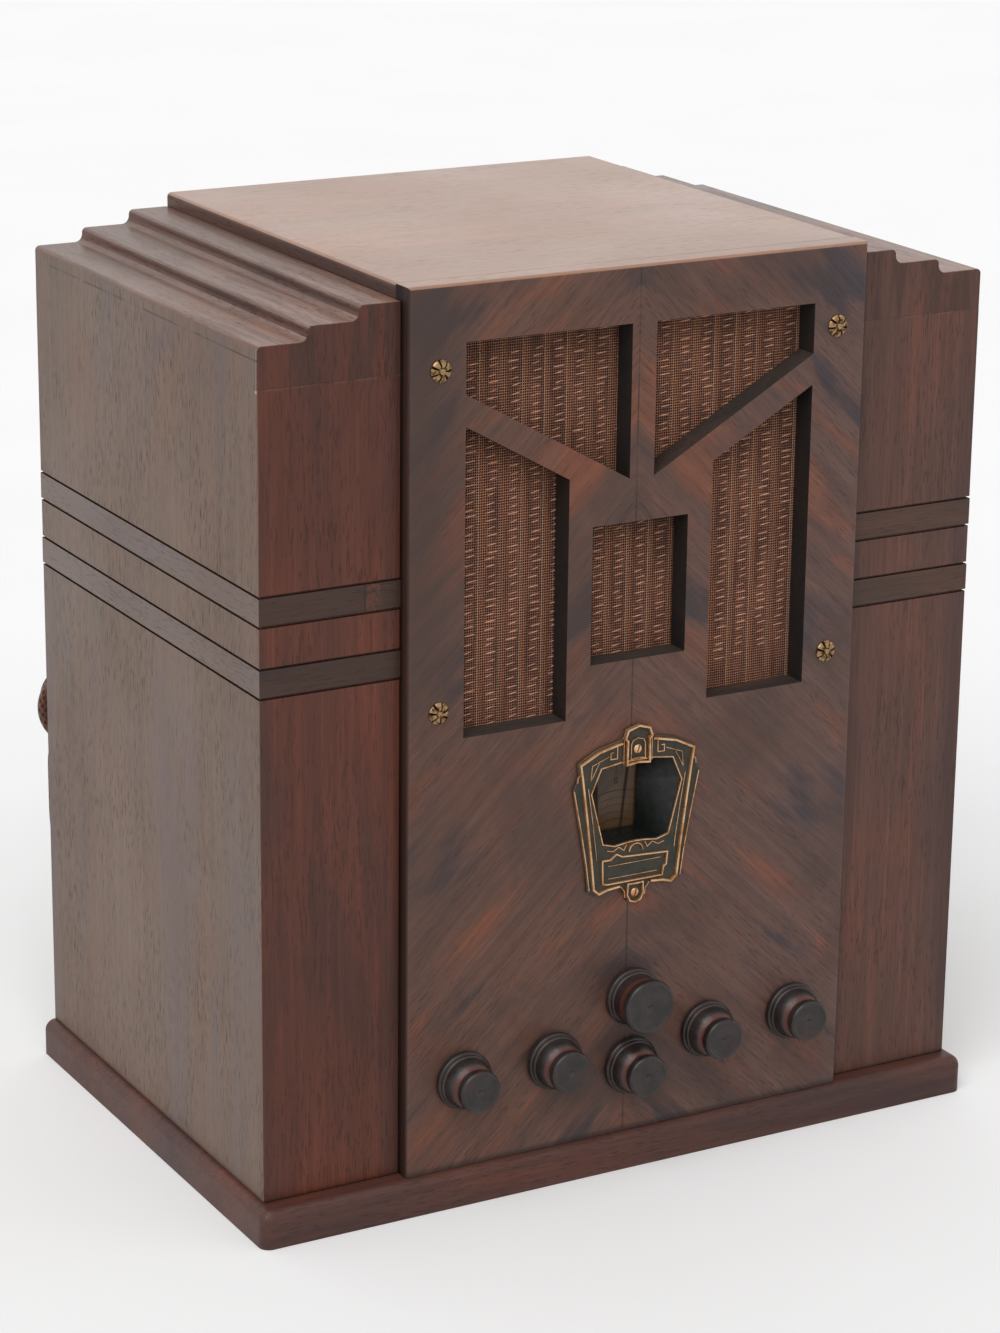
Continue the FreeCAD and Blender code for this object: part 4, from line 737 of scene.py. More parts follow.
class RADIO_OT_stage(bpy.types.Operator):
    """Lays the floor and sets the light and the camera"""

    bl_idname = "radio.stage"
    bl_label = "Stage"

    def execute(self, context):
        s = context.scene.radio_stage
        scene = context.scene
        scene.view_settings.view_transform = "Standard"
        world = bpy.data.worlds.new("studio")
        scene.world = world
        world.use_nodes = True
        nodes, links = world.node_tree.nodes, world.node_tree.links
        sky = nodes["Background"]
        strength = nodes.new("ShaderNodeMapRange")
        links.new(in_view(world.node_tree), strength.inputs["Value"])
        strength.inputs["To Min"].default_value = s.sky
        strength.inputs["To Max"].default_value = 1.0
        links.new(strength.outputs[0], sky.inputs["Strength"])
        sky.inputs["Color"].default_value = (1, 1, 1, 1)
        self.floor(s)
        lamp = bpy.data.lights.new("key", "SUN")
        lamp.energy = s.key
        lamp.angle = math.radians(50)
        key = bpy.data.objects.new("key", lamp)
        key.rotation_euler = Vector((0.42, 0.5, -0.76)).to_track_quat("-Z", "Y").to_euler()
        scene.collection.objects.link(key)
        self.camera(s)
        return {"FINISHED"}

    def floor(self, s):
        shape = bmesh.new()
        bmesh.ops.create_circle(shape, cap_ends=True, segments=96, radius=14.0)
        mesh = mesh_of(shape, "floor")
        mesh.transform(Matrix.Translation((0, 0, -0.0002)))
        floor = bpy.data.objects.new("floor", mesh)
        bpy.context.scene.collection.objects.link(floor)
        f = Finish("pale_floor", Roughness=0.9, Specular_IOR_Level=0.1)
        grey = f.noise(f.spot, 3.0, 4.0)
        pale = f.blend(f.spread(grey, 0.3, 0.7), (0.965, 0.965, 0.965, 1), (0.985, 0.985, 0.985, 1))
        mesh.materials.append(f.done(f.blend(in_view(f.tree), s.floor, pale)))

    def camera(self, s):
        azimuth, drop, roll = s.turn
        ahead = Vector((-math.sin(azimuth) * math.cos(drop), math.cos(azimuth) * math.cos(drop),
                        -math.sin(drop)))
        right = ahead.cross(UP).normalized()
        over = right.cross(ahead)
        side = math.cos(roll) * right + math.sin(roll) * over
        top = math.cos(roll) * over - math.sin(roll) * right
        lens = bpy.data.cameras.new("camera")
        lens.lens = s.lens
        lens.sensor_width = 36
        camera = bpy.data.objects.new("camera", lens)
        camera.matrix_world = Matrix.Translation(s.place) @ Matrix((side, top, -ahead)).transposed().to_4x4()
        bpy.context.scene.collection.objects.link(camera)
        bpy.context.scene.camera = camera


class RADIO_OT_cord(bpy.types.Operator):
    """Makes the braided mains cord from its sleeve to its plug, with its hank and its tie"""

    bl_idname = "radio.cord"
    bl_label = "Mains cord"

    def execute(self, context):
        s = context.scene.radio_cord
        points = cord_points(s)
        line = bpy.data.curves.new("mains_cord_braided", "CURVE")
        line.dimensions = "3D"
        line.resolution_u = 6
        line.bevel_depth = s.diameter / 2
        line.bevel_resolution = 4
        line.use_fill_caps = True
        spline = line.splines.new("NURBS")
        spline.points.add(len(points) - 1)
        for at, point in zip(spline.points, points):
            at.co = (*point, 1)
        spline.order_u = 3
        spline.use_endpoint_u = True
        cord = bpy.data.objects.new("mains_cord_braided", line)
        context.scene.collection.objects.link(cord)
        line.materials.append(braid_finish("cord_braid", s.braid, s.length, s.diameter))
        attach(cord, "cabinet")
        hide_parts("mains_cord", "cord_hank")
        tie = self.tie(s)
        return {"FINISHED"}

    def tie(self, s):
        """A flat tape wound twice round the waist of the hank."""
        shape = bmesh.new()
        half_wide, low, high = 2.05 * s.pitch, 8.9 * MM, 29.1 * MM
        steps = 72
        middle = sum(WAIST) / 2 * MM
        for turn, along in enumerate((-3.2 * MM, 1.6 * MM)):
            loops = []
            for step in range(steps):
                angle = math.tau * step / steps
                flat = abs(math.cos(angle)) ** 0.5 * math.copysign(1, math.cos(angle))
                tall = abs(math.sin(angle)) ** 0.6 * math.copysign(1, math.sin(angle))
                across = flat * (half_wide + 0.4 * MM)
                rise = (low + high) / 2 + tall * (high - low) / 2
                lean = 1.6 * MM * math.sin(angle * 0.5 + turn)
                outer = [(along + lean + off, across * (1 + lift / half_wide), rise + tall * lift)
                         for off, lift in ((0, 0), (0, 0.7 * MM), (1.5 * MM, 1.0 * MM), (3.0 * MM, 0.7 * MM),
                                           (3.0 * MM, 0))]
                loops.append([hank_place(middle + u, v, w) for u, v, w in outer])
            hoop(shape, loops)
        finish = cloth_tape("tie_tape", shade(92, 78, 60))
        return solid_piece("hank_tie", shape, [finish], 50)


def hank_place(along, across, up):
    """A point of the hank's own frame, in the frame of the radio, in metres."""
    cosine, sine = math.sqrt(0.75), 0.5
    return Vector((-0.208 + cosine * along + sine * across, 0.1685 - sine * along + cosine * across,
                   0.184 + up))


def cord_points(s):
    """The cord's control points: down from the sleeve, up behind the cabinet, round the hank and to the
    plug."""
    route = [(-40, 165.5, 50), (-40, 186, 50), (-47, 203, 38), (-70, 208, 24), (-105, 203, 18),
             (-142, 195, 26),
             (-172, 187, 50), (-190, 182, 84), (-198.2, 179, 123), (-198.2, 179, 156)]
    points = [Vector(point) * MM for point in route]
    fold, near, far, across = 19.75, 23, 136.5, 14
    first = math.radians(30)
    for number in range(3):
        angle = math.pi - first * (number + 0.5)
        reach = fold / math.cos(first / 2)
        points.append(hank_mm(near + reach * math.cos(angle), across, -16.5 + reach * math.sin(angle)))
    points.append(hank_mm(near + 6, across, 3.25))
    for turn, (out, back,
               swell) in enumerate(((0, 0.5, 0), (3, -1, 0.7), (-1.5, 1.5, 0.3), (1.5, 0, 0.9))[:s.turns]):
        points += waist(across - 3.5, 11.6 + 0.3 * turn)
        across -= 7
        points += loop(far + out, across, fold + swell, 1)
        points += waist(across, 24.6 - 0.3 * turn)[::-1]
        points += loop(near + back, across, fold + swell, -1, 0 if turn == s.turns - 1 else LOOP_OPEN)
    points += [hank_mm(*point) for point in (
        (38, -14.9, 3.4), (47, -18.6, 5.4), (57, -25.4, 9.8), (66, -31.2, 13.8), (75, -33.25, 15),
        (84.5, -33.25, 15))]
    return points


def waist(across, up):
    """Two points where the tie draws a run of the hank in."""
    return [hank_mm(along, across, up) for along in WAIST]


def loop(centre, across, radius, way, end_open=LOOP_OPEN):
    """Control points round one end of the hank. The loop opens past a half circle towards the waist."""
    step = (math.pi + LOOP_OPEN + end_open) / 6
    reach = radius / math.cos(step / 2)
    edge = 2 * radius * math.tan(step / 2)
    start = -math.pi / 2 - LOOP_OPEN if way > 0 else math.pi / 2 - LOOP_OPEN
    corners = [Vector((math.cos(start + step * (n + 0.5)), math.sin(start + step * (n + 0.5)))) * reach
               for n in range(6)]
    ends = [Vector((-math.sin(angle), math.cos(angle))) * edge for angle in (start, start + step * 6)]
    corners = [corners[0] - ends[0]] + corners + [corners[-1] + ends[1]]
    fan = 0.12
    return [hank_mm(centre + u, across * (1 + fan * max(0, way * u) / radius), 3.25 + radius + w)
            for u, w in corners]


def hank_mm(along, across, up):
    return hank_place(along * MM, across * MM, up * MM)


def braid_finish(name, colour, length, diameter):
    """A cotton braid of two crossing sets of strands, in step with the cord's own length and girth."""
    f = Finish(name, Roughness=0.88, Specular_IOR_Level=0.2, Sheen_Weight=0.3, Sheen_Roughness=0.5)
    run, girth = f.parts(f.add("TexCoord", output="UV"))[:2]
    along = f.times(run, length / (2.6 * diameter) * math.tau * 2)
    round_it = f.times(girth, math.tau * 6)
    left = f.math("SINE", f.math("ADD", along, round_it))
    right = f.math("SINE", f.math("SUBTRACT", along, round_it))
    weave = f.most(left, right)
    fleck = f.noise(f.spot, 1400.0, 2.0)
    dirt = f.noise(f.spot, 45.0, 3.0)
    dark = scaled(colour, 0.32)
    pale = scaled(colour, 1.5)
    # painted shade: the dips between the strands are darker
    tone = f.blend(f.spread(weave, 0.1, 0.95), dark, colour)
    tone = f.blend(f.spread(fleck, 0.5, 0.72, 0.0, 0.6), tone, pale)
    tone = f.blend(f.spread(dirt, 0.45, 0.75, 0.0, 0.5), tone, dark)
    return f.done(tone, None, f.relief(weave, 0.0004))


def cloth_tape(name, colour):
    f = Finish(name, Roughness=0.9, Specular_IOR_Level=0.15)
    wave = f.math("SINE", f.times(f.parts()[2], 9000.0))
    fleck = f.noise(f.spot, 900.0, 3.0)
    dark = scaled(colour, 0.5)
    # painted shade: the dips between the ribs are darker
    tone = f.blend(f.spread(wave, -0.6, 0.9), dark, colour)
    tone = f.blend(f.spread(fleck, 0.5, 0.8, 0, 0.6), tone, dark)
    return f.done(tone, None, f.relief(wave, 0.0002))


def panel_joint(f, colour):
    """The faint seam between the matched veneers, the right half painted paler and greyer as if more
    strongly lit, and a painted shade line along the foot and beside the pilasters."""
    colour = paler_right(f, colour, (0.92, 1.2, 1.6))
    across, up = across_and_up(f)
    dusk = f.spread(f.noise(f.place(shift=(6, 0, 2)), 9.0, 3.0, 1.0), 0.45, 0.65, 0.0, 0.5)
    left = f.times(f.spread(across, -0.085, -0.13), f.spread(up, 0.24, 0.34, 0.25, 0.8))
    colour = f.blend(f.most(dusk, left), colour, shade(66, 50, 46))
    broken = f.spread(f.noise(f.place(scale=(0, 0, 1)), 16.0, 3.0), 0.35, 0.6, 0.15, 0.75)
    colour = f.blend(f.times(f.near(across, -0.003, 0.0006), broken), colour, shade(30, 20, 18))
    # painted shade: a dark line along the foot and beside the pilasters
    foot_and_side_shade = f.most(f.spread(up, 0.0255, 0.0215), f.near(f.math("ABSOLUTE", across), 0.1362, 0.0016))
    return f.blend(f.times(foot_and_side_shade, 0.75), colour, shade(30, 20, 18))


def corner_shade(f, colour):
    """Painted shade: the dark line in the corner between the middle panel and the pilasters."""
    return f.blend(f.spread(f.parts()[1], -0.1372, -0.1348), colour, shade(22, 14, 12))


class RADIO_OT_cabinet(bpy.types.Operator):
    """Gives the cabinet's boards their veneers and eases their edges"""

    bl_idname = "radio.cabinet"
    bl_label = "Cabinet"

    def execute(self, context):
        s = context.scene.radio_wood
        side = wood("side_veneer", tones_of(s.side, 0.86, 1.12), patch=10.0, streak=0.11, pores=0.9,
                    rough=0.45,
                    level=0.5, extra=side_line)
        pilaster = wood("pilaster_veneer", tones_of(s.pilaster, 0.76, 1.28), patch=16.0, reach=0.25,
                        streak=0.16,
                        pores=0.6, rough=0.4, level=0.32, extra=shoulder_shade)
        panel = wood("matched_veneer", (s.panel_smoky, s.panel, s.panel_warm), turn=(0, s.grain_angle, 0),
                     seam=s.seam, patch=21.0, reach=0.3, streak=0.15, pores=0.5, level=0.32,
                     extra=panel_joint)
        band_front = wood("band_front", tones_of(s.band), turn=quarter(y=90), patch=12.0, streak=0.12,
                          pores=0.4,
                          level=0.32, extra=band_joint)
        band_side = wood("band_side", tones_of(s.band_side, 0.9, 1.08), turn=quarter(x=90), patch=10.0,
                         streak=0.06,
                         pores=0.35, rough=0.42, level=0.5)
        foot = wood("foot_wood", tones_of(s.foot), turn=quarter(y=90), patch=14.0, streak=0.16, pores=0.6,
                    level=0.34)
        top = wood("top_veneer", tones_of(s.top, 0.86, 1.15), turn=quarter(y=90), patch=7.0, streak=0.07,
                   pores=0.3,
                   rough=0.34, level=0.5, coat=0.55)
        tread = wood("tread_wood", tones_of(s.tread, 0.8, 1.25), turn=quarter(x=90), patch=12.0, streak=0.22,
                     pores=0.7, rough=0.38, level=0.45, coat=0.2, extra=tread_shade)
        riser = wood("riser_wood", tones_of(s.riser), turn=quarter(x=90), patch=12.0, streak=0.14, pores=0.5,
                     rough=0.4, level=0.32)
        plain = wood("plain_wood", tones_of(s.plain, 0.8, 1.15), streak=0.14, pores=0.5, rough=0.75,
                     level=0.2)
        cut_edge = wood("stained_edge", tones_of(s.cut_edge), turn=quarter(y=90), patch=20.0, streak=0.1,
                        rough=0.55,
                        level=0.25)
        # painted shade: a darker wood for the middle panel's narrow sides
        flank = wood("panel_flank", tones_of(s.flank), patch=14.0, streak=0.14, pores=0.4, rough=0.5,
                     level=0.25,
                     extra=corner_shade)
        # painted light: the upward faces inside the openings are given a paler copy of the edge wood
        ledge = wood("dusty_ledge", tones_of(s.ledge), turn=quarter(y=90), patch=30.0, streak=0.1, rough=0.5,
                     level=0.3)
        joint = wood("joint_line", tones_of(s.joint), patch=40.0, pores=0.2, rough=0.7, level=0.1)
        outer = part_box("side_panel_right")[1].x - MM
        ceiling = CAD_BOX[1].z - 2 * MM
        grooves = (0.29, 0.355)
        shoulder_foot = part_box("shoulder_left")[0].z
        side_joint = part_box("pilaster_left")[1].y

        def board(middle, normal):
            if abs(normal.z) > 0.7 and grooves[0] < middle.z < grooves[1]:
                return 3
            if abs(normal.x) > 0.7 and abs(middle.x) > outer:
                return 0
            return 1 if normal.y < -0.7 else 2

        def shoulder(middle, normal):
            if normal.z > 0.5:
                return 4
            if abs(normal.x) > 0.5 and abs(middle.x) < outer:
                return 5
            return board(middle, normal)

        def fret(middle, normal):
            if normal.z > 0.5 and middle.z > ceiling:
                return 4
            if abs(normal.y) > 0.5:
                return 0 if normal.y < 0 else 2
            # the middle panel's outer sides, top edge and foot take the darker side wood, a painted shade
            if abs(middle.x) > 0.135 or middle.z > ceiling or middle.z < 0.0225:
                return 3
            # upward faces inside the openings take the paler ledge wood, a painted light
            return 5 if normal.z > 0.3 else 1

        def board_ease(one, two):
            """Edges along the bands and between boards of one face stay sharp, and the shoulders' foot shows
            only as a fine line in front."""
            on_side = min(abs(one.x), abs(two.x)) > outer
            if on_side and max(abs(one.y - side_joint), abs(two.y - side_joint)) < 1e-4:
                return 0.0
            if abs(one.z - two.z) < 1e-5 and grooves[0] < one.z < grooves[1]:
                return 0.0
            if abs(one.z - two.z) < 1e-5 and abs(one.z - shoulder_foot) < 1e-4:
                return 0.0 if on_side else 0.3
            return 1.0

        def band_ease(one, two):
            return 1.0 if abs(one.z - two.z) < 1e-5 else 0.0

        boards = [side, pilaster, plain, joint]
        for node in ("side_panel_left", "side_panel_right", "pilaster_left", "pilaster_right"):
            fine_copy(node, boards, s.edge, choose=board, share=board_ease)
        for node in ("shoulder_left", "shoulder_right"):
            fine_copy(node, boards + [tread, riser], s.edge, choose=shoulder, share=board_ease)
        fine_copy("inlay_bands", [band_side, band_front, plain, joint], s.joint_width, choose=board,
                  share=band_ease,
                  line_finish=3)
        fine_copy("front_panel", [panel, cut_edge, plain, flank, top, ledge], s.edge, choose=fret)
        fine_copy("top_panel", [top, riser, plain], s.edge,
                  choose=lambda middle, normal: 0 if normal.z > 0.5 else (2 if normal.z < -0.5 else 1))
        fine_copy("base_board", foot, s.edge)
        for node in ("baffle_board", "corner_battens"):
            fine_copy(node, plain, s.edge)
        return {"FINISHED"}


class RADIO_OT_cloth(bpy.types.Operator):
    """Weaves the grille cloth and sews its slanted stitches"""

    bl_idname = "radio.cloth"
    bl_label = "Grille cloth"

    def execute(self, context):
        s = context.scene.radio_cloth
        low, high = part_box("grille_cloth")
        width, tall = high.x - low.x, high.z - low.z
        columns, rows = 166, 136
        shape = bmesh.new()
        grid = []
        for row in range(rows + 1):
            up = low.z + tall * row / rows
            line = []
            for column in range(columns + 1):
                across = low.x + width * column / columns
                phase = (across / s.pitch) % 1.0
                cord = math.exp(-((phase - 0.04) / 0.05) ** 2)
                slack = 0.5 + 0.5 * math.sin(across * 61 + 2) * math.sin(up * 47)
                line.append(shape.verts.new((across, low.y + 0.00032 - 0.00012 * cord - 0.00008 * slack,
                                             up)))
            grid.append(line)
        for below, above in zip(grid, grid[1:]):
            for a in range(columns):
                shape.faces.new((below[a], below[a + 1], above[a + 1], above[a]))
        mesh = bpy.data.meshes.new("grille_weave")
        shape.to_mesh(mesh)
        shape.free()
        smooth(mesh, 60)
        cloth = mesh_piece("grille_weave", mesh, "cabinet", [self.weave(s)],
                           ["grille_cloth"])
        thick = cloth.modifiers.new("thickness", "SOLIDIFY")
        thick.thickness = 0.0002
        thick.offset = -1
        stitches = mesh_piece(
            "grille_stitches", self.stitches(s, low, width, tall), "cabinet",
            [self.thread(s)])
        return {"FINISHED"}

    def weave(self, s):
        f = Finish("open_weave", Roughness=0.85, Specular_IOR_Level=0.15, Sheen_Weight=0.15)
        wander = f.noise(f.spot, 260.0, 2.0)
        shift = f.times(f.math("SUBTRACT", wander, 0.5), 0.0006)
        across, up = [f.math("ADD", part, shift) for part in across_and_up(f)]
        turn = math.tau / s.thread
        warp = f.math("SINE", f.times(across, turn))
        weft = f.math("SINE", f.times(up, turn * 0.93))
        cover = f.spread(f.most(warp, weft), 0.4, 0.95)
        phase = f.math("FRACT", f.math("DIVIDE", across, s.pitch))
        cord = f.spread(f.math("ABSOLUTE", f.math("SUBTRACT", phase, 0.04)), 0.06, 0.03, 0.0, 0.9)
        bright = f.spread(f.math("ABSOLUTE", f.math("SUBTRACT", phase, 0.17)), 0.16, 0.07)
        dull = f.spread(f.noise(f.place(scale=(1, 1, 0.25)), 160.0, 3.0), 0.3, 0.7)
        tone = f.blend(dull, s.dull, s.copper)
        tone = f.blend(f.times(bright, 0.75), tone, s.orange)
        tone = f.blend(f.times(cord, 0.8), tone, s.bright)
        # the gaps between the threads are painted dark, a painted shade of the space behind
        tone = f.blend(cover, s.gap_shade, tone)
        return f.done(tone, None, f.relief(f.math("ADD", cover, cord), 0.0005))

    def thread(self, s):
        f = Finish("stitch_thread", Roughness=0.6, Specular_IOR_Level=0.35)
        ply = f.noise(f.spot, 700.0, 2.0)
        return f.done(f.blend(f.spread(ply, 0.35, 0.65), s.copper, s.bright), None, f.relief(ply, 0.0002))

    def stitches(self, s, low, width, tall):
        """Rows of slanted stitches, one row to each column of the weave, drawn by a tree with a fixed
        seed."""
        sizes = [("Across", "Float"), ("Tall", "Float"), ("Columns", "Int"), ("Rows", "Int"),
                 ("Length", "Float"),
                 ("Width", "Float"), ("Slope", "Float"), ("Corner", "Vector"), ("Seed", "Int")]
        tree, given, result = node_tree("stitch_rows", sizes)
        g = given.outputs
        lattice = gn(tree, "GeometryNodeMeshGrid", {
            "Size X": g["Across"], "Size Y": g["Tall"], "Vertices X": g["Columns"], "Vertices Y": g["Rows"]})
        place = gn(tree, "ShaderNodeSeparateXYZ", {0: gn(tree, "GeometryNodeInputPosition")}).node.outputs
        climb = gn(tree, "ShaderNodeMath", {0: place[0], 1: g["Slope"]}, operation="MULTIPLY")
        jitter = gn(tree, "FunctionNodeRandomValue", {
            "Min": (-0.0011, 0.0, -0.0008), "Max": (0.0011, 0.00006, 0.0008), "Seed": g["Seed"]}, "Value",
            data_type="FLOAT_VECTOR")
        rise = gn(tree, "ShaderNodeMath", {0: place[1], 1: climb})
        upright = gn(tree, "ShaderNodeCombineXYZ", {"X": place[0], "Z": rise})
        moved = gn(tree, "ShaderNodeVectorMath", {0: upright, 1: g["Corner"]}, operation="ADD")
        spread = gn(tree, "ShaderNodeVectorMath", {0: moved, 1: jitter}, operation="ADD")
        stood = gn(tree, "GeometryNodeSetPosition", {"Geometry": lattice, "Position": spread})
        bead = gn(tree, "GeometryNodeMeshUVSphere", {"Segments": 6, "Rings": 6, "Radius": 0.5})
        lying = gn(tree, "ShaderNodeCombineXYZ", {"X": g["Width"], "Y": 0.00022, "Z": g["Length"]})
        shaped = gn(tree, "GeometryNodeTransform", {"Geometry": bead, "Scale": lying})
        low_tilt, high_tilt = math.radians(75), math.radians(86)
        tilt = gn(tree, "FunctionNodeRandomValue", {"Min": low_tilt, "Max": high_tilt, "Seed": g["Seed"]},
                  "Value", data_type="FLOAT")
        angle = gn(tree, "FunctionNodeEulerToRotation",
                   {"Euler": gn(tree, "ShaderNodeCombineXYZ", {"Y": tilt})})
        size = gn(tree, "FunctionNodeRandomValue", {"Min": 0.75, "Max": 1.1, "Seed": g["Seed"]}, "Value",
                  data_type="FLOAT")
        placed = gn(tree, "GeometryNodeInstanceOnPoints", {
            "Points": stood, "Instance": shaped, "Rotation": angle, "Scale": size})
        painted_copies(tree, result, placed)
        columns, rows = int(width / s.pitch), int(tall / s.row) - 3
        corner = (low.x + 0.5 * width + 0.0022, low.y + 0.00018, low.z + tall / 2)
        empty = bpy.data.meshes.new("stitch_start")
        mesh = grown("grille_stitches", empty, tree, {
            "Across": (columns - 1) * s.pitch, "Tall": (rows - 1) * s.row, "Columns": columns, "Rows": rows,
            "Length": s.stitch, "Width": 0.0006, "Slope": math.tan(math.radians(8)), "Corner": corner,
            "Seed": 4})
        mesh.materials.clear()
        smooth(mesh, 80)
        return mesh


def half(points):
    """Mirrors the right half of an outline, from its top middle point to its bottom one, into a whole
    one."""
    inner = [p for p in points if p[0] > 1e-9]
    start = [points[0]] if points[0][0] <= 1e-9 else []
    end = [points[-1]] if points[-1][0] <= 1e-9 else []
    return [(x * MM, z * MM) for x, z in start + inner + end + [(-x, z) for x, z in reversed(inner)]]


def both(points):
    """The same line on the right and on the left."""
    return [[(x * side * MM, z * MM) for x, z in points] for side in (1, -1)]


class RADIO_OT_escutcheon(bpy.types.Operator):
    """Casts the escutcheon with its raised gilt lines, its keystone and its bare plaque"""

    bl_idname = "radio.escutcheon"
    bl_label = "Escutcheon"

    def execute(self, context):
        s = context.scene.radio_brass
        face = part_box("escutcheon")[1].y
        window = half([(0, 234.2), (10, 234), (22, 232.3), (27.8, 219), (20.2, 189.6), (13, 187.6),
                       (5, 188.6), (0, 188.8)])
        outline = half([
            (0, 253.9), (7.4, 251.8), (8.6, 246.9), (11.2, 246.2), (23.9, 243.4), (36.4, 237.2),
            (35.4, 229.4),
            (38.9, 222.6), (30.3, 177), (29.3, 164.2), (26.6, 163.4), (22.6, 160.6), (16.9, 162.3),
            (9.4, 162.9),
            (6.4, 160.4), (4.3, 154.8), (0, 153.6)])
        plate = flat_plate("escutcheon_plate", [outline, window], face - 1.7 * MM, face, 0.25 * MM)
        ground = self.ground(s)
        gilt = gilt_finish("gilt", s.gilt, s.patina)
        mesh_piece("escutcheon_plate", plate, "cabinet", [ground], ["escutcheon"])
        shape = bmesh.new()
        base, low, top = face - 1.6 * MM, face - 2.3 * MM, face - 3.0 * MM
        ridge(shape, window, 0.9 * MM, base, low, closed=True)
        border = [(9.4, 244.6), (12, 244.2), (23.4, 241.6), (34.7, 236), (33.6, 229), (30.6, 207),
                  (27.4, 182),
                  (25.6, 165.2), (22.4, 162.3), (17.2, 163.9), (9.6, 164.6)]
        for points, width, height in (
                (border, 1.7, top),
                ([(12.4, 243.8), (12.4, 236.6), (16.4, 236.6), (16.4, 240.2), (14.6, 240.2)], 0.8, low),
                ([(17.4, 238.4), (27.6, 234.6), (28.4, 226.2)], 0.5, low),
                ([(28.6, 226), (23.4, 235.6)], 0.5, low),
                ([(29.8, 222.6), (27, 205), (24.4, 186), (24, 181.5)], 0.5, low),
                ([(38.3, 222.4), (33.8, 200), (30.2, 180), (28.2, 165)], 0.8, low),
                ([(36.4, 226.6), (36.1, 229.4), (33.9, 231.2)], 0.6, low),
                ([(17.6, 185.8), (13.8, 184.8), (10.4, 186.8), (7.2, 184.4), (5.6, 187.6)], 0.6, low)):
            for line in both(points):
                ridge(shape, line, width * MM, base, height)
        arch = [(4.2 * math.cos(a), 183.4 + 4.2 * math.sin(a)) for a in [math.pi * n / 8 for n in range(9)]]
        ridge(shape, [(x * MM, z * MM) for x, z in arch], 0.9 * MM, base, top)
        plaque = [(-20.6, 180.6), (-15.5, 180.6), (-12, 183.2), (-8.4, 181.2), (19.6, 179.6), (19, 172.6),
                  (17.4, 171.6), (16.6, 166.9), (-17.4, 166.9), (-20.2, 167.6)]
        ridge(shape, [(x * MM, z * MM) for x, z in plaque], 1.1 * MM, base, top, closed=True)
        ridge(shape, [(-16.6 * MM, 169.8 * MM), (13.6 * MM, 169.8 * MM)], 0.45 * MM, base, low)
        ridge(shape, [(-16.6 * MM, 176.9 * MM), (15.8 * MM, 176.9 * MM)], 0.45 * MM, base, low)
        solid_piece("escutcheon_lines", shape, [gilt])
        self.blocks(face, gilt)
        return {"FINISHED"}

    def blocks(self, face, gilt):
        """The keystone at the top and the tab at the foot, each with its screw."""
        shape = bmesh.new()
        base, top = face - 1.6 * MM, face - 3.7 * MM
        ridge(shape, half([(0, 253.3), (6.6, 251.3), (8.1, 246.8), (6.7, 245.6), (6.9, 232.4), (0, 233.2)]),
              1.5 * MM, base, top, closed=True)
        for line in both([(9.6, 247.4), (8.6, 247.4), (8.6, 232.9)]):
            ridge(shape, line, 0.6 * MM, base, face - 2.6 * MM)
        ridge(shape, half([(0, 246.4), (3.2, 245.4), (4.2, 243.4), (4.4, 235), (0, 235.4)]), 0.6 * MM, base,
              face - 2.9 * MM, closed=True)
        ridge(shape, half([(0, 164.9), (4.6, 165.1), (4.9, 158.8), (3.2, 155.4), (0, 154.4)]), 1.2 * MM,
              base,
              face - 3.2 * MM, closed=True)
        for line in both([(8.9, 164.2), (6.3, 161), (6.1, 157.6)]):
            ridge(shape, line, 0.6 * MM, base, face - 2.5 * MM)
        solid_piece("escutcheon_blocks", shape, [gilt])
        head = slotted_head(2.5 * MM, 1.5 * MM, 0.8 * MM, 24)
        spots = [(0, face - 1.6 * MM, 240.2 * MM), (0, face - 1.6 * MM, 159.6 * MM)]
        set_out("escutcheon_screw_heads", head, spots, gilt, ["escutcheon_screws"], spread=0.4)

    def ground(self, s):
        f = Finish("escutcheon_ground", Metallic=0.35, Specular_IOR_Level=0.4)
        cast = f.noise(f.spot, 900.0, 3.0)
        stain = f.noise(f.spot, 90.0, 4.0)
        tone = f.blend(f.spread(stain, 0.35, 0.7), s.ground, shade(48, 50, 44))
        tone = f.wear(tone, s.patina, 0.8)
        return f.done(tone, f.spread(stain, 0.3, 0.7, 0.42, 0.62), f.relief(cast, 0.00012))


def gilt_finish(name, gilt, patina):
    f = Finish(name, Metallic=0.85, Specular_IOR_Level=0.5)
    rub = f.noise(f.spot, 140.0, 4.0)
    speck = f.noise(f.spot, 900.0, 3.0)
    tone = f.blend(f.spread(rub, 0.38, 0.68), gilt, patina)
    tone = f.blend(f.spread(speck, 0.55, 0.75, 0.0, 0.6), tone, shade(70, 48, 32))
    # painted shade in the recesses between the raised lines and in the screw slots
    tone = f.hollow_shade(tone, 0.0007)
    return f.done(tone, f.spread(rub, 0.3, 0.7, 0.3, 0.5), f.relief(speck, 0.00006))


def slotted_head(radius, tall, slot, sides, axis=FRONT):
    """A domed screw head with a sawn slot, standing along an axis."""
    shape = bmesh.new()
    rows = 7
    rings = [(radius, 0.0), (radius, tall * 0.35)]
    rings += [(radius * math.cos(a), tall * (0.35 + 0.65 * math.sin(a)))
              for a in [math.pi / 2 * n / rows for n in range(1, rows)]]
    lathe(shape, [(0, 0)] + rings + [(0, tall)], sides, ORIGIN, FRONT)
    mesh = mesh_of(shape, "screw_head")
    cutter = bmesh.new()
    bmesh.ops.create_cube(cutter, size=1.0)
    box = bpy.data.meshes.new("slot_saw")
    cutter.to_mesh(box)
    cutter.free()
    box.transform(Matrix.Diagonal((slot, tall, radius * 3, 1)))
    box.transform(Matrix.Translation((0, -tall * 0.9, 0)))
    return put(cut(mesh, box), FRONT.rotation_difference(axis).to_matrix().to_4x4())


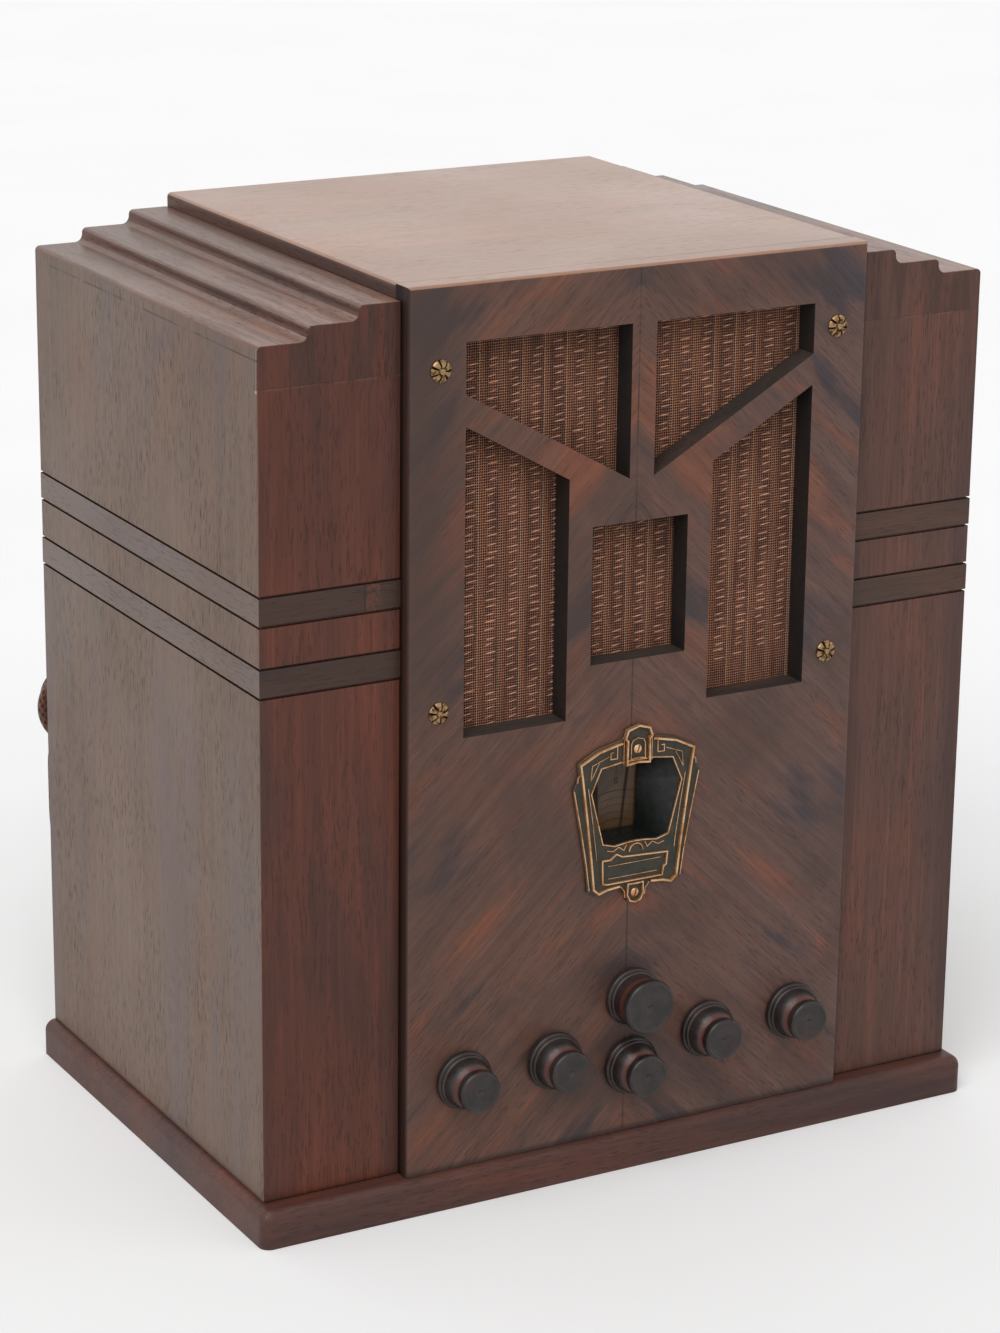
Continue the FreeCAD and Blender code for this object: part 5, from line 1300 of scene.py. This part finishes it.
def nut(across, tall, sides=6, axis=UP):
    """A nut with its corners rounded off, standing along an axis, with the end of its bolt."""
    shape = bmesh.new()
    lathe(shape, [(0, 0), (across / 2, 0), (across / 2, tall * 0.75), (across * 0.43, tall)], sides,
          ORIGIN, axis)
    lathe(shape, [(across * 0.43, tall), (across * 0.28, tall)], sides, ORIGIN, axis)
    lathe(shape, [(across * 0.28, tall * 0.9), (across * 0.28, tall * 1.25), (across * 0.2, tall * 1.4),
                  (0, tall * 1.4)], 16, ORIGIN, axis)
    bmesh.ops.remove_doubles(shape, verts=shape.verts, dist=1e-6)
    mesh = mesh_of(shape, "nut")
    smooth(mesh, 30)
    return mesh


def cut(mesh, tool):
    """Takes one closed mesh away from another."""
    items = []
    for data in (mesh, tool):
        item = bpy.data.objects.new(data.name, data)
        bpy.context.scene.collection.objects.link(item)
        items.append(item)
    saw = items[0].modifiers.new("saw", "BOOLEAN")
    saw.operation = "DIFFERENCE"
    saw.object = items[1]
    result = bake(items[0], mesh.name)
    for item in items:
        bpy.data.objects.remove(item)
    smooth(result, 35)
    return result


class RADIO_OT_rosettes(bpy.types.Operator):
    """Sets a petalled brass head on each of the four panel screws"""

    bl_idname = "radio.rosettes"
    bl_label = "Rosettes"

    def execute(self, context):
        s = context.scene.radio_brass
        shape = bmesh.new()
        sides, petals = 84, 7
        radii = [0.0, 0.9, 1.5, 1.9, 2.6, 3.6, 4.6, 5.3, 5.7, 5.9]
        rings = []
        for radius in radii:
            ring = []
            for step in range(1 if radius == 0 else sides):
                angle = math.tau * step / sides
                notch = max(0.0, math.cos(angle * petals)) ** 6
                dome = 2.6 * math.sqrt(max(0.0, 1 - (radius / 6.3) ** 2))
                boss = 0.45 if radius < 1.7 else (-0.35 if radius < 2.2 else 0)
                deep = notch * (1.25 if 2.2 < radius < 5.8 else 0.0)
                reach = radius * (1 - 0.05 * notch * (radius > 5))
                tall = max(0.15, dome + boss - deep - 0.35)
                ring.append(shape.verts.new((reach * MM * math.cos(angle), -tall * MM,
                                             reach * MM * math.sin(angle))))
            rings.append(ring)
        foot = [shape.verts.new((v.co.x, 0, v.co.z)) for v in rings[-1]]
        rings.append(foot)
        for inner, outer in zip(rings, rings[1:]):
            for step in range(sides):
                after = (step + 1) % sides
                corners = [inner[0]] if len(inner) == 1 else [inner[step], inner[after]]
                shape.faces.new(corners + [outer[after], outer[step]])
        shape.faces.new(foot)
        low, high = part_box("rosette_screws")
        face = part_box("front_panel")[0].y
        lathe(shape,
              [(0, 0.0001), (0.0019, 0.0001), (0.0019, high.y - face - 0.0005), (0.0014, high.y - face),
                      (0, high.y - face)], 24, ORIGIN, -FRONT)
        head = mesh_of(shape, "rosette_head")
        smooth(head, 40)
        radius = 5.9 * MM
        spots = [(side * (high.x - radius), face + 0.02 * MM, up) for side in (-1, 1)
                 for up in (low.z + radius, high.z - radius)]
        brass = self.brass(s)
        set_out("rosette_heads", head, spots, brass, ["rosette_screws"], seed=5)
        return {"FINISHED"}

    def brass(self, s):
        f = Finish("aged_brass", Metallic=1.0)
        tarnish = f.noise(f.spot, 420.0, 4.0)
        tone = f.blend(f.spread(tarnish, 0.42, 0.66), s.brass, shade(74, 50, 32))
        # painted shade in the petals' notches and round the boss
        tone = f.hollow_shade(tone, 0.0012)
        return f.done(tone, f.spread(tarnish, 0.3, 0.7, 0.28, 0.5), f.relief(tarnish, 0.00008))


class RADIO_OT_knobs(bpy.types.Operator):
    """Turns the six knobs"""

    bl_idname = "radio.knobs"
    bl_label = "Knobs"

    def execute(self, context):
        s = context.scene.radio_knob
        skin = self.lacquer("knob_lacquer", s.skin, s.bloom)
        groove = self.lacquer("knob_groove", s.groove, s.groove)
        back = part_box("band_knob")[1].y
        for name in ("volume", "tone", "tuning", "band", "sensitivity", "power"):
            node = name + "_knob"
            body = NODES[node]["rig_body"]
            low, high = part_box(node)
            face = s.big_face if node == "tuning_knob" else s.face
            shape = bmesh.new()
            centre = Vector(((low.x + high.x) / 2, back, (low.z + high.z) / 2))
            lathe(shape, self.profile(face / MM), 96, centre, FRONT)
            solid_piece(node + "_turned", shape, [skin, groove], 40, body, [node])
        return {"FINISHED"}

    def profile(self, face):
        """Radius and distance from the knob's back, from the bore to the dimple in the face, in metres."""
        waist = face - 1.5
        rows = [(0, 15), (3.3, 15), (3.3, 0), (15.2, 0), (15.8, 0.3), (16, 0.9), (16, 2.6), (15.8, 3.1),
                (15.3, 3.4),
                (14.75, 3.6), (14.6, 3.9), (14.75, 4.2), (15.05, 4.5), (15.15, 5.0), (15.0, 5.5),
                (14.6, 5.85),
                (14.2, 6.0), (14.1, 6.3), (14.15, 6.7), (14.0, 7.2), (13.9, 8.2)]
        if waist > 12:
            rows += [(13.7, 9.6), (13.5, 11.0), (13.4, 12.4, 1), (13.2, 13.2, 1)]
        else:
            rows += [(13.5, 9.4), (13.0, 10.8), (12.2, 12.0), (11.3, 12.9, 1), (10.7, 13.4, 1),
                     (10.35, 14.0, 1)]
        rows += [(waist, 14.6, 1), (waist, 15.6, 1), (waist + 0.4, 16.0, 1), (face - 0.45, 16.15),
                 (face - 0.1, 16.4), (face, 16.8), (face, 19.0), (face - 0.15, 19.7), (face - 0.55, 20.35),
                 (face - 1.1, 20.7), (face - 1.6, 20.8), (face - 2.0, 20.72), (face - 2.25, 20.45)]
        radius = face - 2.6
        depth = 20.4
        while radius > 2.2:
            rows += [(radius, depth), (radius - 0.35, depth + 0.07), (radius - 0.7, depth)]
            radius -= 1.5
            depth -= 0.055
        rows += [(1.6, 20.0), (1.1, 19.6), (0.5, 19.25), (0, 19.15)]
        return [(row[0] * MM, row[1] * MM) + tuple(row[2:]) for row in rows]

    def lacquer(self, name, colour, bloom):
        f = Finish(name, Specular_IOR_Level=0.42)
        cloud = f.noise(f.spot, 110.0, 4.0)
        scuff = f.noise(f.place(scale=(1, 0.3, 1)), 620.0, 3.0)
        tone = f.blend(f.spread(cloud, 0.35, 0.7), colour, bloom)
        rubbed = f.noise(f.place(shift=(3, 3, 3)), 70.0, 4.0, 1.0)
        tone = f.blend(f.spread(rubbed, 0.52, 0.72, 0.0, 0.6), tone, shade(62, 36, 30))
        # painted shade in the knob's grooves and corners
        tone = f.hollow_shade(f.wear(tone, shade(96, 66, 52), 0.7), 0.0011)
        return f.done(tone, f.spread(scuff, 0.3, 0.7, 0.26, 0.44), f.relief(scuff, 0.00005))


class RADIO_OT_dial(bpy.types.Operator):
    """Prints the turning dial scale and finishes the hood and the pointer"""

    bl_idname = "radio.dial"
    bl_label = "Dial"

    def execute(self, context):
        s = context.scene.radio_dial
        fine_copy("dial_scale", self.celluloid(s), 0.0, name="dial_disc")
        low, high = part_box("dial_scale")
        centre = Vector(((low.x + high.x) / 2, low.y, (low.z + high.z) / 2))
        ink = Finish("dial_ink", Roughness=0.6, Specular_IOR_Level=0.2)
        fade = ink.noise(ink.spot, 500.0, 3.0)
        ink = ink.done(ink.blend(ink.spread(fade, 0.35, 0.7), s.ink, shade(58, 42, 28)))
        for name, mesh in (("dial_rings", self.rings(centre)), ("dial_ticks", self.ticks(s, centre, ink)),
                           ("dial_numbers", self.numbers(centre))):
            mesh_piece(name, mesh, "condenser", [ink])
        hood = Finish("hood_paint", Specular_IOR_Level=0.4)
        grit = hood.noise(hood.spot, 260.0, 4.0)
        tone = hood.blend(hood.spread(grit, 0.3, 0.7), s.hood, scaled(s.hood, 0.55))
        fine_copy("dial_hood",
                  hood.done(tone, hood.spread(grit, 0.3, 0.7, 0.26, 0.46), hood.relief(grit, 0.0001)),
                  0.0002)
        dark = Finish("pointer_paint", Roughness=0.5)
        spot = dark.noise(dark.spot, 800.0, 2.0)
        fine_copy("dial_pointer", dark.done(dark.blend(spot, shade(18, 16, 14), shade(34, 30, 26))), 0.0)
        return {"FINISHED"}

    def celluloid(self, s):
        f = Finish("dial_celluloid", Specular_IOR_Level=0.5, Subsurface_Weight=0.1)
        stain = f.noise(f.spot, 38.0, 4.0, 1.0)
        fleck = f.noise(f.spot, 700.0, 3.0)
        # the scale's colour is kept dark as a painted shade of the hood's shadow
        tone = f.blend(f.spread(stain, 0.35, 0.7), s.face, s.stain)
        tone = f.blend(f.spread(fleck, 0.5, 0.75, 0.0, 0.4), tone, scaled(s.face, 0.4))
        return f.done(tone, f.spread(stain, 0.3, 0.7, 0.3, 0.5), f.relief(fleck, 0.00004))

    def rings(self, centre):
        shape = bmesh.new()
        for radius, wide in ((24, 0.25), (28, 0.2), (32, 0.2), (36, 0.2), (40, 0.35), (56.5, 0.35),
                             (60, 0.2), (63, 0.2)):
            sides = 144
            depth = centre.y - 0.03 * MM
            hoop(shape, [[(centre.x + r * MM * math.cos(math.tau * n / sides), y,
                           centre.z + r * MM * math.sin(math.tau * n / sides)) for n in range(sides)]
                         for r, y in ((radius, centre.y), (radius, depth), (radius + wide, depth),
                                      (radius + wide, centre.y))])
        return mesh_of(shape, "dial_rings")

    def ticks(self, s, centre, ink):
        """Ticks set round the scale by a tree, every fifth one longer."""
        sizes = [("Ticks", "Int"), ("Radius", "Float"), ("Short", "Float"), ("Long", "Float"),
                 ("Width", "Float"),
                 ("Every", "Int"), ("Centre", "Vector")]
        tree, given, result = node_tree("scale_ticks", sizes)
        g = given.outputs
        ring = gn(tree, "GeometryNodeMeshCircle", {"Vertices": g["Ticks"], "Radius": g["Radius"]})
        number = gn(tree, "GeometryNodeInputIndex")
        place = gn(tree, "ShaderNodeMath", {0: number, 1: g["Every"]}, operation="MODULO")
        major = gn(tree, "FunctionNodeCompare", {"A": place, "B": 0.5}, operation="LESS_THAN")
        tall = gn(tree, "GeometryNodeSwitch", {"Switch": major, "False": g["Short"], "True": g["Long"]},
                  input_type="FLOAT")
        part = gn(tree, "ShaderNodeMath", {0: math.tau, 1: g["Ticks"]}, operation="DIVIDE")
        step = gn(tree, "ShaderNodeMath", {0: number, 1: part}, operation="MULTIPLY")
        angle = gn(tree, "FunctionNodeEulerToRotation",
                   {"Euler": gn(tree, "ShaderNodeCombineXYZ", {"Z": step})})
        bar = gn(tree, "GeometryNodeMeshCube", {"Size": (1, 1, 1)})
        outward = gn(tree, "GeometryNodeTransform", {"Geometry": bar, "Translation": (-0.5, 0, 0)})
        size = gn(tree, "ShaderNodeCombineXYZ", {"X": tall, "Y": g["Width"], "Z": 0.00006})
        placed = gn(tree, "GeometryNodeInstanceOnPoints", {
            "Points": ring, "Instance": outward, "Rotation": angle, "Scale": size})
        stood = gn(tree, "GeometryNodeTransform", {
            "Geometry": placed, "Rotation": (math.pi / 2, 0, 0), "Translation": g["Centre"]})
        painted_copies(tree, result, stood, ink)
        mesh = grown("dial_ticks", bpy.data.meshes.new("tick_start"), tree, {
            "Ticks": s.ticks, "Radius": 0.056, "Short": 0.0035, "Long": 0.0065, "Width": 0.00035, "Every": 5,
            "Centre": tuple(centre)})
        mesh.materials.clear()
        return mesh

    def numbers(self, centre):
        shape = bmesh.new()
        for number in range(NUMBERS):
            angle = math.tau * number / NUMBERS
            line = bpy.data.curves.new("number", "FONT")
            line.body = str(min(number, NUMBERS - number) * 10)
            line.size = 5.2 * MM
            line.extrude = 0.03 * MM
            line.align_x = "CENTER"
            line.align_y = "CENTER"
            item = bpy.data.objects.new("number", line)
            bpy.context.scene.collection.objects.link(item)
            mesh = bake(item, "number")
            bpy.data.objects.remove(item)
            stand = Matrix.Rotation(math.pi / 2, 4, "X") @ Matrix.Rotation(-angle, 4, "Z")
            out = Matrix.Translation((0, 0.0455, 0))
            mesh.transform(Matrix.Translation(centre) @ stand @ out)
            shape.from_mesh(mesh)
        bmesh.ops.remove_doubles(shape, verts=shape.verts, dist=1e-6)
        return mesh_of(shape, "dial_numbers")


def metal(name, colour, rough, grain=500.0, stain=0.4, metallic=1.0, brushed=(1, 1, 1), depth=0.00005):
    f = Finish(name, Metallic=metallic)
    brush = f.noise(f.place(scale=brushed), grain, 3.0)
    cloud = f.noise(f.spot, 26.0, 5.0)
    dull = scaled(colour, 0.45)
    tone = f.blend(f.spread(cloud, 0.42, 0.75, 0.0, stain), colour, dull)
    tone = f.blend(f.spread(brush, 0.3, 0.75, 0.0, 0.3), tone, dull)
    return f.done(tone, f.spread(cloud, 0.3, 0.7, rough, rough + 0.18), f.relief(brush, depth))


def moulded(name, colour, rough=0.4, speckle=0.3, depth=0.00005, level=0.5):
    f = Finish(name, Specular_IOR_Level=level)
    mottle = f.noise(f.spot, 160.0, 4.0, 1.0)
    grit = f.noise(f.spot, 1200.0, 2.0)
    pale = scaled(colour, 1.9)
    tone = f.blend(f.spread(mottle, 0.5, 0.75, 0.0, speckle), colour, pale)
    return f.done(tone, f.spread(mottle, 0.3, 0.7, rough - 0.06, rough + 0.1), f.relief(grit, depth))


def laminated(name, colour, pitch, way):
    """Varnished iron sheets stacked along one of the axes."""
    f = Finish(name, Metallic=0.5)
    sheet = f.math("SINE", f.times(f.parts()[way], math.tau / pitch))
    cloud = f.noise(f.spot, 60.0, 4.0)
    rust = f.blend(f.spread(cloud, 0.5, 0.75, 0.0, 0.5), colour, shade(92, 60, 40))
    # painted shade: the dips between the sheets are darker
    tone = f.blend(f.spread(sheet, -0.2, 0.9), scaled(colour, 0.4), rust)
    return f.done(tone, f.spread(cloud, 0.3, 0.7, 0.4, 0.6), f.relief(sheet, 0.0003))


class RADIO_OT_works(bpy.types.Operator):
    """Finishes the chassis and all that stands on it and under it"""

    bl_idname = "radio.works"
    bl_label = "Works"

    def execute(self, context):
        s = context.scene.radio_works
        plated = metal("plated_steel", s.plated, 0.32, 160.0, 0.5)
        steel = metal("turned_steel", s.steel, 0.25, 900.0, 0.3)
        aluminium = metal("spun_aluminium", s.aluminium, 0.3, 700.0, 0.3, brushed=(1, 1, 12))
        iron = laminated("core_iron", shade(44, 42, 42), 0.0009, 1)
        black = moulded("black_paint", shade(24, 24, 25), 0.42, 0.4)
        bakelite = moulded("brown_bakelite", shade(50, 28, 18), 0.3, 0.5)
        rubber = moulded("old_rubber", shade(32, 28, 26), 0.7, 0.3, 0.0001, 0.3)
        card = moulded("waxed_card", shade(150, 118, 74), 0.5, 0.4)
        brass = metal("plain_brass", shade(190, 160, 90), 0.3)
        looks = {
            "chassis_pan": (plated, 0.5), "condenser_frame": (plated, 0.3), "tube_sockets": (bakelite, 0.3),
            "tuning_bracket": (plated, 0.3), "lamp_brackets": (plated, 0.2), "control_nuts": (brass, 0.2),
            "rosette_nuts": (brass, 0.2), "foot_bolts": (steel, 0.2), "speaker_bolts": (steel, 0.2),
            "condenser_rotor": (aluminium, 0.0), "condenser_stator": (aluminium, 0.0),
            "drive_disc": (brass, 0.2),
            "if_transformer_cans": (aluminium, 0.5), "tube_shields": (aluminium, 0.0),
            "power_transformer": (black, 0.8), "output_transformer": (iron, 0.5),
            "tube_bases": (bakelite, 0.3),
            "panel_controls": (plated, 0.3), "terminal_strip": (bakelite, 0.2),
            "mains_plug": (bakelite, 0.2),
            "filter_capacitors": (aluminium, 0.4), "cord_sleeve": (rubber, 0.3)}
        for node, (finish, edge) in looks.items():
            if node == "mains_plug":
                NODES[node].data.materials.clear()
                NODES[node].data.materials.append(finish)
            else:
                fine_copy(node, finish, edge * MM)
        for name in ("volume", "tone", "tuning", "band", "sensitivity", "power"):
            fine_copy(name + "_shaft", steel, 0.2 * MM)
        self.transformers(iron, card, steel)
        self.deck(steel, bakelite, brass)
        return {"FINISHED"}

    def transformers(self, iron, card, steel):
        """The bare edges of the cores, the coil of the small one and the bolts of the big one."""
        shape = bmesh.new()
        low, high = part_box("power_transformer")
        tall = high.z - low.z
        box_hoop(shape, low + UP * 0.36 * tall, Vector((high.x, high.y, low.z + 0.62 * tall)), 1.6 * MM)
        solid_piece("transformer_core", shape, [iron])
        spots = [(x, high.y + 1.6 * MM, low.z + up * tall) for x in (low.x + 7 * MM, high.x - 7 * MM)
                 for up in (0.42, 0.56)]
        set_out("transformer_bolts", nut(7 * MM, 2.4 * MM, axis=-FRONT), spots, steel,
                spread=1.0, seed=8)
        low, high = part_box("output_transformer")
        shape = bmesh.new()
        for out, inset in ((4.5, 10), (5.2, 14)):
            box_hoop(shape, low + Vector((0, 4, inset)) * MM, high - Vector((0, 4, inset)) * MM, out * MM)
        solid_piece("output_coil", shape, [card])

    def deck(self, steel, bakelite, brass):
        """The small fittings on the deck: rivets, trimmer nuts, the capacitors' lids and lugs, and the
        grid caps."""
        rivet = bmesh.new()
        lathe(rivet, [(0, 0), (2.1 * MM, 0), (2.0 * MM, 0.5 * MM), (1.4 * MM, 0.9 * MM), (0, 1.05 * MM)], 16,
              ORIGIN, UP)
        rivet = mesh_of(rivet, "rivet")
        smooth(rivet, 50)
        spots = []
        for low, high in parts_boxes("tube_sockets"):
            reach = (high.x - low.x) / 2 - 2.8 * MM
            spots += [((low.x + high.x) / 2 + side * reach, (low.y + high.y) / 2, high.z)
                      for side in (-1, 1)]
        set_out("socket_rivets", rivet, spots, steel, spread=0.0)
        spots = [((low.x + high.x) / 2, (low.y + high.y) / 2 + side * 8 * MM, high.z)
                 for low, high in parts_boxes("if_transformer_cans") for side in (-1, 1)]
        set_out("trimmer_nuts", nut(6.5 * MM, 2.2 * MM), spots, brass, spread=0.0)
        low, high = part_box("chassis_pan")
        spots = [(side * 152 * MM, high.y, up) for side in (-1, 1)
                 for up in (low.z + 10 * MM, high.z - 10 * MM)]
        screw = slotted_head(3.6 * MM, 2.0 * MM, 1.0 * MM, 20, -FRONT)
        set_out("pan_screws", screw, spots, steel, seed=2)
        shape = bmesh.new()
        for low, high in parts_boxes("filter_capacitors"):
            radius = (high.x - low.x) / 2
            middle = Vector(((low.x + high.x) / 2, (low.y + high.y) / 2, high.z))
            lathe(shape,
                  [(0, 0), (radius - 2.5 * MM, 0), (radius - 2.5 * MM, 1.2 * MM),
                   (radius - 4 * MM, 1.8 * MM),
                          (0, 1.8 * MM)], 48, middle, UP)
            for turn in range(3):
                angle = math.tau * turn / 3
                place = middle + Vector((math.cos(angle), math.sin(angle), 0)) * 7 * MM + UP * 1.8 * MM
                lathe(shape, [(0, 0, 1), (1.6 * MM, 0, 1), (1.6 * MM, 1 * MM, 1), (0.9 * MM, 1.2 * MM, 1),
                              (0.9 * MM, 5 * MM, 1), (0, 5.3 * MM, 1)], 12, place, UP)
        solid_piece("capacitor_lids", shape, [bakelite, steel], 40)
        shape = bmesh.new()
        for low, high in parts_boxes("tube_shields"):
            middle = Vector(((low.x + high.x) / 2, (low.y + high.y) / 2, high.z))
            lathe(shape,
                  [(0, 0), (9 * MM, 0), (9 * MM, 0.8 * MM), (5.2 * MM, 1.4 * MM), (5.0 * MM, 6.6 * MM),
                          (4.2 * MM, 7.6 * MM), (1.4 * MM, 8.0 * MM), (0, 8.0 * MM)], 32, middle, UP)
        solid_piece("grid_caps", shape, [bakelite], 40)


class RADIO_OT_tubes(bpy.types.Operator):
    """Blows the tubes' bulbs and the dial lamps, and sets what is seen inside them"""

    bl_idname = "radio.tubes"
    bl_label = "Tubes"

    def execute(self, context):
        glass = Finish("bulb_glass", Roughness=0.03, IOR=1.45, Transmission_Weight=1.0)
        haze = glass.noise(glass.spot, 60.0, 4.0)
        tone = glass.blend(glass.spread(haze, 0.3, 0.7), shade(250, 252, 252), shade(232, 236, 236))
        glass = glass.done(tone, glass.spread(haze, 0.4, 0.75, 0.02, 0.1))
        fine_copy("tube_bulbs", glass, 0.0)
        fine_copy("dial_lamps", glass, 0.0)
        anode = metal("carbonised_anode", shade(58, 58, 60), 0.5, 300.0, 0.4, metallic=0.6)
        mica = moulded("mica", shade(196, 192, 178), 0.35, 0.5)
        nickel = metal("nickel", shade(176, 176, 172), 0.28)
        boxes = parts_boxes("tube_bulbs")
        low, high = boxes[0]
        shape = bmesh.new()
        self.electrodes(shape, (high.x - low.x) / 2, high.z - low.z)
        inside = mesh_of(shape, "electrodes")
        smooth(inside, 35)
        spots = [((low.x + high.x) / 2, (low.y + high.y) / 2, low.z) for low, high in boxes]
        set_out("tube_electrodes", inside, spots, anode, spread=0.0)
        shape = bmesh.new()
        for low, high in boxes:
            self.spacers(shape, Vector(((low.x + high.x) / 2, (low.y + high.y) / 2, low.z)),
                         (high.x - low.x) / 2,
                         high.z - low.z)
        solid_piece("tube_spacers", shape, [mica, nickel], 35)
        return {"FINISHED"}

    def electrodes(self, shape, radius, tall):
        """The ribbed anode round the grids and the cathode."""
        wide, foot, head = radius * 0.46, tall * 0.2, tall * 0.56
        rows = [(wide * 0.7, foot), (wide, foot)]
        ribs = 4
        for rib in range(ribs):
            for share, grow in ((0.25, 0), (0.35, 0.06), (0.55, 0.06), (0.65, 0)):
                rows.append((wide * (1 + grow), foot + (head - foot) * (rib + share) / ribs))
        lathe(shape, rows + [(wide, head), (wide * 0.7, head), (wide * 0.7, foot)], 28)
        bmesh.ops.remove_doubles(shape, verts=shape.verts, dist=1e-6)

    def spacers(self, shape, foot, radius, tall):
        """Mica discs, support rods, the getter's ring and the glass press that carries them."""
        for up, reach in ((0.185, 0.7), (0.57, 0.74), (0.7, 0.5)):
            lathe(shape, [(0, 0), (radius * reach, 0), (radius * reach, 0.5 * MM), (0, 0.5 * MM)], 24,
                  foot + UP * tall * up, UP)
        for side in (-1, 1):
            lathe(shape, [(0, 0, 1), (0.5 * MM, 0, 1), (0.5 * MM, tall * 0.62, 1), (0, tall * 0.62, 1)], 8,
                  foot + Vector((0, side * radius * 0.55, tall * 0.08)), UP)
        ring = [(0.2, 0.76), (0.24, 0.76), (0.24, 0.775), (0.2, 0.775), (0.2, 0.76)]
        lathe(shape, [(r * radius, z * tall, 1) for r, z in ring], 20, foot, UP)
        lathe(shape, [(0, 0), (radius * 0.34, 0), (radius * 0.24, tall * 0.09), (radius * 0.2, tall * 0.15),
                      (0, tall * 0.15)], 20, foot, UP)
        bmesh.ops.remove_doubles(shape, verts=shape.verts, dist=1e-6)


class RADIO_OT_loudspeaker(bpy.types.Operator):
    """Finishes the loudspeaker's paper cone, basket and magnet"""

    bl_idname = "radio.loudspeaker"
    bl_label = "Loudspeaker"

    def execute(self, context):
        low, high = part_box("speaker_cone")
        paper = Finish("cone_paper", Roughness=0.85, Specular_IOR_Level=0.2)
        middle = (low + high) / 2
        parts = paper.parts(paper.place(shift=(-middle.x, 0, -middle.z)))
        across, up = [paper.math("POWER", parts[axis], 2.0) for axis in (0, 2)]
        out = paper.math("SQRT", paper.math("ADD", across, up))
        rib = paper.math("SINE", paper.times(out, math.tau / 0.0045))
        pulp = paper.noise(paper.spot, 420.0, 4.0)
        tone = paper.blend(paper.spread(pulp, 0.35, 0.7), shade(58, 50, 44), shade(88, 76, 64))
        tone = paper.blend(paper.spread(rib, 0.2, 1.0, 0.0, 0.3), tone, shade(36, 30, 26))
        height = paper.math("ADD", paper.times(rib, 0.5), pulp)
        fine_copy("speaker_cone", paper.done(tone, None, paper.relief(height, 0.0005)), 0.0)
        fine_copy("speaker_basket", moulded("basket_paint", shade(40, 42, 40), 0.45, 0.5), 0.4 * MM)
        fine_copy("speaker_magnet", moulded("magnet_paint", shade(28, 28, 30), 0.4, 0.4), 0.6 * MM)
        return {"FINISHED"}


OPERATORS = (
    RADIO_OT_stage, RADIO_OT_cord, RADIO_OT_cabinet, RADIO_OT_cloth, RADIO_OT_escutcheon, RADIO_OT_rosettes,
    RADIO_OT_knobs, RADIO_OT_dial, RADIO_OT_works, RADIO_OT_tubes, RADIO_OT_loudspeaker)


class RADIO_PT_build(bpy.types.Panel):
    """Lists the steps that finish the radio"""

    bl_idname = "RADIO_PT_build"
    bl_label = "Tombstone radio"
    bl_space_type = "VIEW_3D"
    bl_region_type = "UI"
    bl_category = "Radio"

    def draw(self, context):
        for operator in OPERATORS:
            self.layout.operator(operator.bl_idname)
        for name in SETTINGS:
            group = getattr(context.scene, name)
            for prop in group.bl_rna.properties:
                if prop.identifier not in ("rna_type", "name"):
                    self.layout.prop(group, prop.identifier)


SETTINGS = {
    "radio_stage": StageSettings, "radio_cord": CordSettings, "radio_wood": WoodSettings,
    "radio_cloth": ClothSettings, "radio_brass": BrassSettings, "radio_knob": KnobSettings,
    "radio_dial": DialSettings, "radio_works": WorksSettings}


def register():
    for name, group in SETTINGS.items():
        bpy.utils.register_class(group)
        setattr(bpy.types.Scene, name, PointerProperty(type=group))
    for item in OPERATORS + (RADIO_PT_build,):
        bpy.utils.register_class(item)


def unregister():
    for item in reversed(OPERATORS + (RADIO_PT_build,)):
        bpy.utils.unregister_class(item)
    for name, group in reversed(SETTINGS.items()):
        delattr(bpy.types.Scene, name)
        bpy.utils.unregister_class(group)


def main():
    register()
    for operator in OPERATORS:
        family, action = operator.bl_idname.split(".")
        getattr(getattr(bpy.ops, family), action)()


if __name__ == "__main__":
    main()
